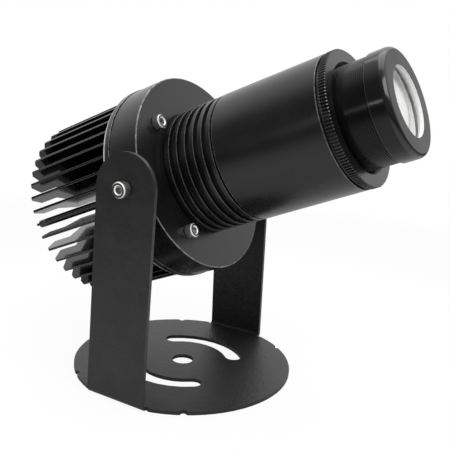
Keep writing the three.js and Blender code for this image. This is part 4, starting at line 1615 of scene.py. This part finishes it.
@dataclass
class Gland:
    """The supply gland in the heat sink's open middle, of which the body and the nut show from behind."""

    drop: float = HeatSink.gland_drop
    hex_radius: float = 6.6
    hex_round: float = 0.35
    hex_length: float = 4.0
    overlap: float = 1.0
    bore: float = 1.8
    thread_radius: float = 2.75
    rear_radius: float = 5.0
    dome: float = 1.5
    dome_steps: int = 6
    mouth: float = 2.1
    wall: float = 1.2
    flutes: int = 18
    steps_per_flute: int = 2
    flute_depth: float = 0.35

    def body(self) -> Piece:
        """Makes the body: a hexagon between two spigots.

        Returns:
            The body, about the optical axis.
        """
        span = AXIS.span("gland_body")
        steps = self.steps_per_flute * self.flutes
        front = AXIS.span("heat_sink").front - HeatSink.plate_thickness - SEAT_GAP
        back = front - self.hex_length
        neck = back + self.overlap
        outline = [(self.bore, span.back), (self.rear_radius, span.back), (self.rear_radius, neck)]
        outline += [(self.thread_radius, neck), (self.thread_radius, span.front), (self.bore, span.front)]
        tube = turn("gland_spigots", outline, steps)
        block = prism("gland_hexagon", HEXAGON, self.hex_radius, back, front)
        bore = self.rear_radius - self.overlap
        drill(block, [prism("gland_bore", steps, bore, back - OVERRUN, front + OVERRUN)])
        for piece in (tube, block):
            dress(piece, Finish.NYLON, Finish.NYLON)
            soften(piece, self.hex_round)
        return join("nylon_gland_body", [block, tube])

    def cap_nut(self) -> Piece:
        """Makes the domed and fluted nut that clamps the cord.

        Returns:
            The nut, about the optical axis.
        """
        span = AXIS.span("gland_cap_nut")
        inner = self.rear_radius + SEAT_GAP
        radius = inner + self.wall
        floor = span.back + self.wall
        steps = self.steps_per_flute * self.flutes
        outline = [(inner, span.front), (radius, span.front)]
        dome = round_corner(radius, 0, self.dome, self.dome, self.dome_steps)
        outline += [(place, span.back - height) for place, height in dome]
        outline += [(self.mouth, span.back), (self.mouth, floor), (inner, floor)]
        nut = turn("nylon_gland_cap_nut", outline, steps)
        notch_rim(nut, steps, self.steps_per_flute, radius, self.flute_depth)
        dress(nut, Finish.NYLON, Finish.NYLON)
        smooth(nut)
        return nut

    def build(self) -> None:
        """Makes both and lays them on the gland's own axis, below the optical axis."""
        for make, node in ((self.body, "gland_body"), (self.cap_nut, "gland_cap_nut")):
            piece = make()
            move(piece, Vector((0, 0, -mm(self.drop))))
            AXIS.lay(piece)
            place_in_frame(piece, node)


class HiddenPieces:
    """The CAD nodes inside the head, which keep their shape and get their real finishes."""

    def build(self) -> None:
        """Dresses each node."""
        looks = {
            Finish.RUBBER: ("housing_seal", "thermal_pad", "gland_seal", "supply_lead_negative"),
            Finish.RED_WIRE: ("supply_lead_positive",),
            Finish.BOARD: ("led_board",),
            Finish.PHOSPHOR: ("led_emitter",),
            Finish.STAINLESS: ("board_screw_1", "board_screw_2", "gobo_snap_ring"),
            Finish.NYLON: ("gland_locknut",),
            Finish.GLASS: ("gobo_glass", "collimator_lens", "condenser_lens"),
            Finish.ANODISED: ("condenser_cell", "condenser_retainer", "gobo_holder", "gobo_lock_ring"),
        }
        for finish, nodes in looks.items():
            for node in nodes:
                dress(frame["nodes"][node], finish)
                log.info("%s: keeps its CAD shape, dressed in %s", node, finish.value.name)


# Studio


@dataclass(frozen=True)
class Lamp:
    """A rectangular soft lamp that faces a point."""

    name: str
    place: Triple
    aim: Triple
    size: Point
    power: float

    def build(self) -> None:
        """Adds the lamp."""
        pick()
        place = Vector([mm(value) for value in self.place])
        aim = Vector([mm(value) for value in self.aim])
        turned = (aim - place).to_track_quat("-Z", "Y").to_euler()
        bpy.ops.object.light_add(type="AREA", location=place, rotation=turned)
        lamp = bpy.context.active_object
        lamp.name = self.name
        lamp.data.shape = "RECTANGLE"
        lamp.data.size, lamp.data.size_y = (mm(value) for value in self.size)
        lamp.data.energy = self.power


@dataclass
class Studio:
    """The white floor and surround, the soft lamps and the camera at the photograph's angle."""

    floor_radius: float = 4000.0
    floor_steps: int = 96
    floor_drop: float = 0.05
    floor_glow: float = 0.9
    glow_start: float = 250.0
    glow_end: float = 520.0
    mirror_loss: float = 0.3
    paper_start: float = 120.0
    paper_end: float = 600.0
    near_paper: str = "#f2f2f2"
    far_paper: str = "#5a5a5a"
    world_light: float = 0.8
    dim_level: float = 0.18
    bright_side: Triple = (0.93, 0.2, 0.3)
    dim_from: float = -0.25
    bright_from: float = 0.4
    camera_place: Triple = (-305.078, -200.920, 169.302)
    camera_azimuth: float = math.radians(-59.616)
    camera_elevation: float = math.radians(13.631)
    camera_roll: float = math.radians(3.623)
    focal_length: float = 56.0
    sensor: float = 36.0
    nearest: float = 1.0
    lamps: Sequence[Lamp] = (
        Lamp("top_softbox", (250, 80, 1000), (0, -20, 90), (900, 900), 3.2),
        Lamp("key_softbox", (-330, -440, 700), (0, -60, 120), (700, 400), 3.4),
        Lamp("strip_light", (-920, 286, 237), (0, -105, 150), (130, 14), 0.12),
    )

    def floor(self) -> None:
        """Adds a white paper floor that keeps the object's shadow.

        To the camera the paper glows white away from the object, and keeps a share of its shade near it. In
        mirror images it loses some light near the object. Further out its own colour is darker, so that it
        doesn't light the object from below.
        """
        pick()
        bpy.ops.mesh.primitive_circle_add(
            vertices=self.floor_steps,
            radius=mm(self.floor_radius),
            fill_type="NGON",
            location=(0, 0, -mm(self.floor_drop)),
        )
        floor = bpy.context.active_object
        floor.name = "studio_floor"
        bpy.ops.object.transform_apply(location=True, rotation=True, scale=True)
        material, tree = new_material("white_paper")
        place = add_node(tree, "TexCoord", {}).outputs["Object"]
        distance = add_node(tree, "VectorMath", {0: place}, operation="LENGTH").outputs["Value"]
        reach = {"Value": distance, "From Min": mm(self.paper_start), "From Max": mm(self.paper_end)}
        far = add_node(tree, "MapRange", reach, interpolation_type="SMOOTHSTEP").outputs["Result"]
        shades = {"Factor": far, COLOUR_A: linear(self.near_paper), COLOUR_B: linear(self.far_paper)}
        shade = add_node(tree, "Mix", shades, data_type="RGBA").outputs[COLOUR_OUT]
        paper = add_node(tree, "BsdfDiffuse", {"Color": shade}).outputs[0]
        glossy = add_node(tree, "LightPath", {}).outputs["Is Glossy Ray"]
        shine = add_node(tree, "Math", {0: 1.0, 1: glossy}, operation="SUBTRACT").outputs[0]
        glow = add_node(tree, "Emission", {"Color": linear(WHITE), "Strength": shine}).outputs[0]
        reach = {"Value": distance, "From Min": mm(self.glow_start), "From Max": mm(self.glow_end)}
        reach["To Min"] = self.floor_glow
        near = add_node(tree, "MapRange", reach, interpolation_type="SMOOTHSTEP").outputs["Result"]
        direct = add_node(tree, "Math", {0: self.showing(tree), 1: near}, operation="MULTIPLY").outputs[0]
        levels = {"Value": far, "To Min": self.mirror_loss, "To Max": 0.0}
        loss = add_node(tree, "MapRange", levels).outputs["Result"]
        mirrored = add_node(tree, "Math", {0: glossy, 1: loss}, operation="MULTIPLY").outputs[0]
        share = add_node(tree, "Math", {0: direct, 1: mirrored}, operation="MAXIMUM").outputs[0]
        mixed = add_node(tree, "MixShader", {0: share, 1: paper, 2: glow}).outputs[0]
        add_node(tree, "OutputMaterial", {"Surface": mixed})
        floor.data.materials.append(material)

    def showing(self, tree: Tree) -> Socket:
        """Tells the rays that come from the camera or through glass from the others.

        Args:
            tree: the node tree that asks.

        Returns:
            The socket of a value, one for such a ray and zero for the others.
        """
        path = add_node(tree, "LightPath", {}).outputs
        rays = {0: path["Is Camera Ray"], 1: path["Is Transmission Ray"]}
        return add_node(tree, "Math", rays, operation="MAXIMUM").outputs[0]

    def surround(self) -> None:
        """Makes a white backdrop behind the object, with a dim room behind the camera in reflections."""
        world = bpy.data.worlds.new("studio")
        bpy.context.scene.world = world
        world.use_nodes = True
        tree = world.node_tree
        tree.nodes.clear()
        direction = add_node(tree, "TexCoord", {}).outputs["Generated"]
        sides = {0: direction, 1: self.bright_side}
        side = add_node(tree, "VectorMath", sides, operation="DOT_PRODUCT").outputs["Value"]
        levels = {"Value": side, "From Min": self.dim_from, "From Max": self.bright_from}
        levels["To Min"] = self.dim_level
        room = add_node(tree, "MapRange", levels, interpolation_type="SMOOTHSTEP").outputs["Result"]
        glossy = add_node(tree, "LightPath", {}).outputs["Is Glossy Ray"]
        shares = {"Value": glossy, "To Min": self.world_light, "To Max": room}
        level = add_node(tree, "MapRange", shares).outputs["Result"]
        strength = add_node(tree, "Math", {0: level, 1: self.showing(tree)}, operation="MAXIMUM").outputs[0]
        light = add_node(tree, "Background", {"Color": linear(WHITE), "Strength": strength}).outputs[0]
        add_node(tree, "OutputWorld", {"Surface": light})

    def camera(self) -> None:
        """Adds the camera and makes it the scene's own."""
        pick()
        bpy.ops.object.camera_add()
        camera = bpy.context.active_object
        camera.name = "photograph_camera"
        azimuth, elevation = self.camera_azimuth, self.camera_elevation
        back = Vector((math.sin(azimuth) * math.cos(elevation), -math.cos(azimuth) * math.cos(elevation), 0))
        back.z = math.sin(elevation)
        right = Vector((math.cos(azimuth), math.sin(azimuth), 0))
        turned = Matrix((right, back.cross(right), back)).transposed()
        pose = turned.to_4x4() @ Matrix.Rotation(self.camera_roll, 4, "Z")
        camera.matrix_world = Matrix.Translation([mm(value) for value in self.camera_place]) @ pose
        camera.data.lens = self.focal_length
        camera.data.sensor_width = self.sensor
        camera.data.clip_start = mm(self.nearest)
        bpy.context.scene.camera = camera

    def build(self) -> None:
        """Sets the studio up."""
        self.camera()
        self.floor()
        self.surround()
        for lamp in self.lamps:
            lamp.build()
        bpy.context.scene.view_settings.view_transform = "Standard"
        log.info("studio: floor, surround, camera and %d lamps", len(self.lamps))


def main() -> None:
    """Builds the studio and the projector."""
    logging.basicConfig(level=logging.INFO, format="%(message)s")
    rear_lens = Lens(node="rear_lens", name="domed_rear_lens", looks=(Finish.GLASS,), faces_front=False)
    rings = [BrightRing(node, f"turned_{node}") for node in ("front_lens_retainer", "rear_lens_retainer")]
    parts = [Studio(), Bracket(), HeatSink(), LampHousing(), FlangeScrews(), Pivots(), RibbedNeck(), Barrel()]
    parts += [LockRing(), FocusTube(), FrontCap(), Lens(), rear_lens, *rings, Gland(), HiddenPieces()]
    for part in parts:
        part.build()
    pick()


if __name__ == "__main__":
    main()
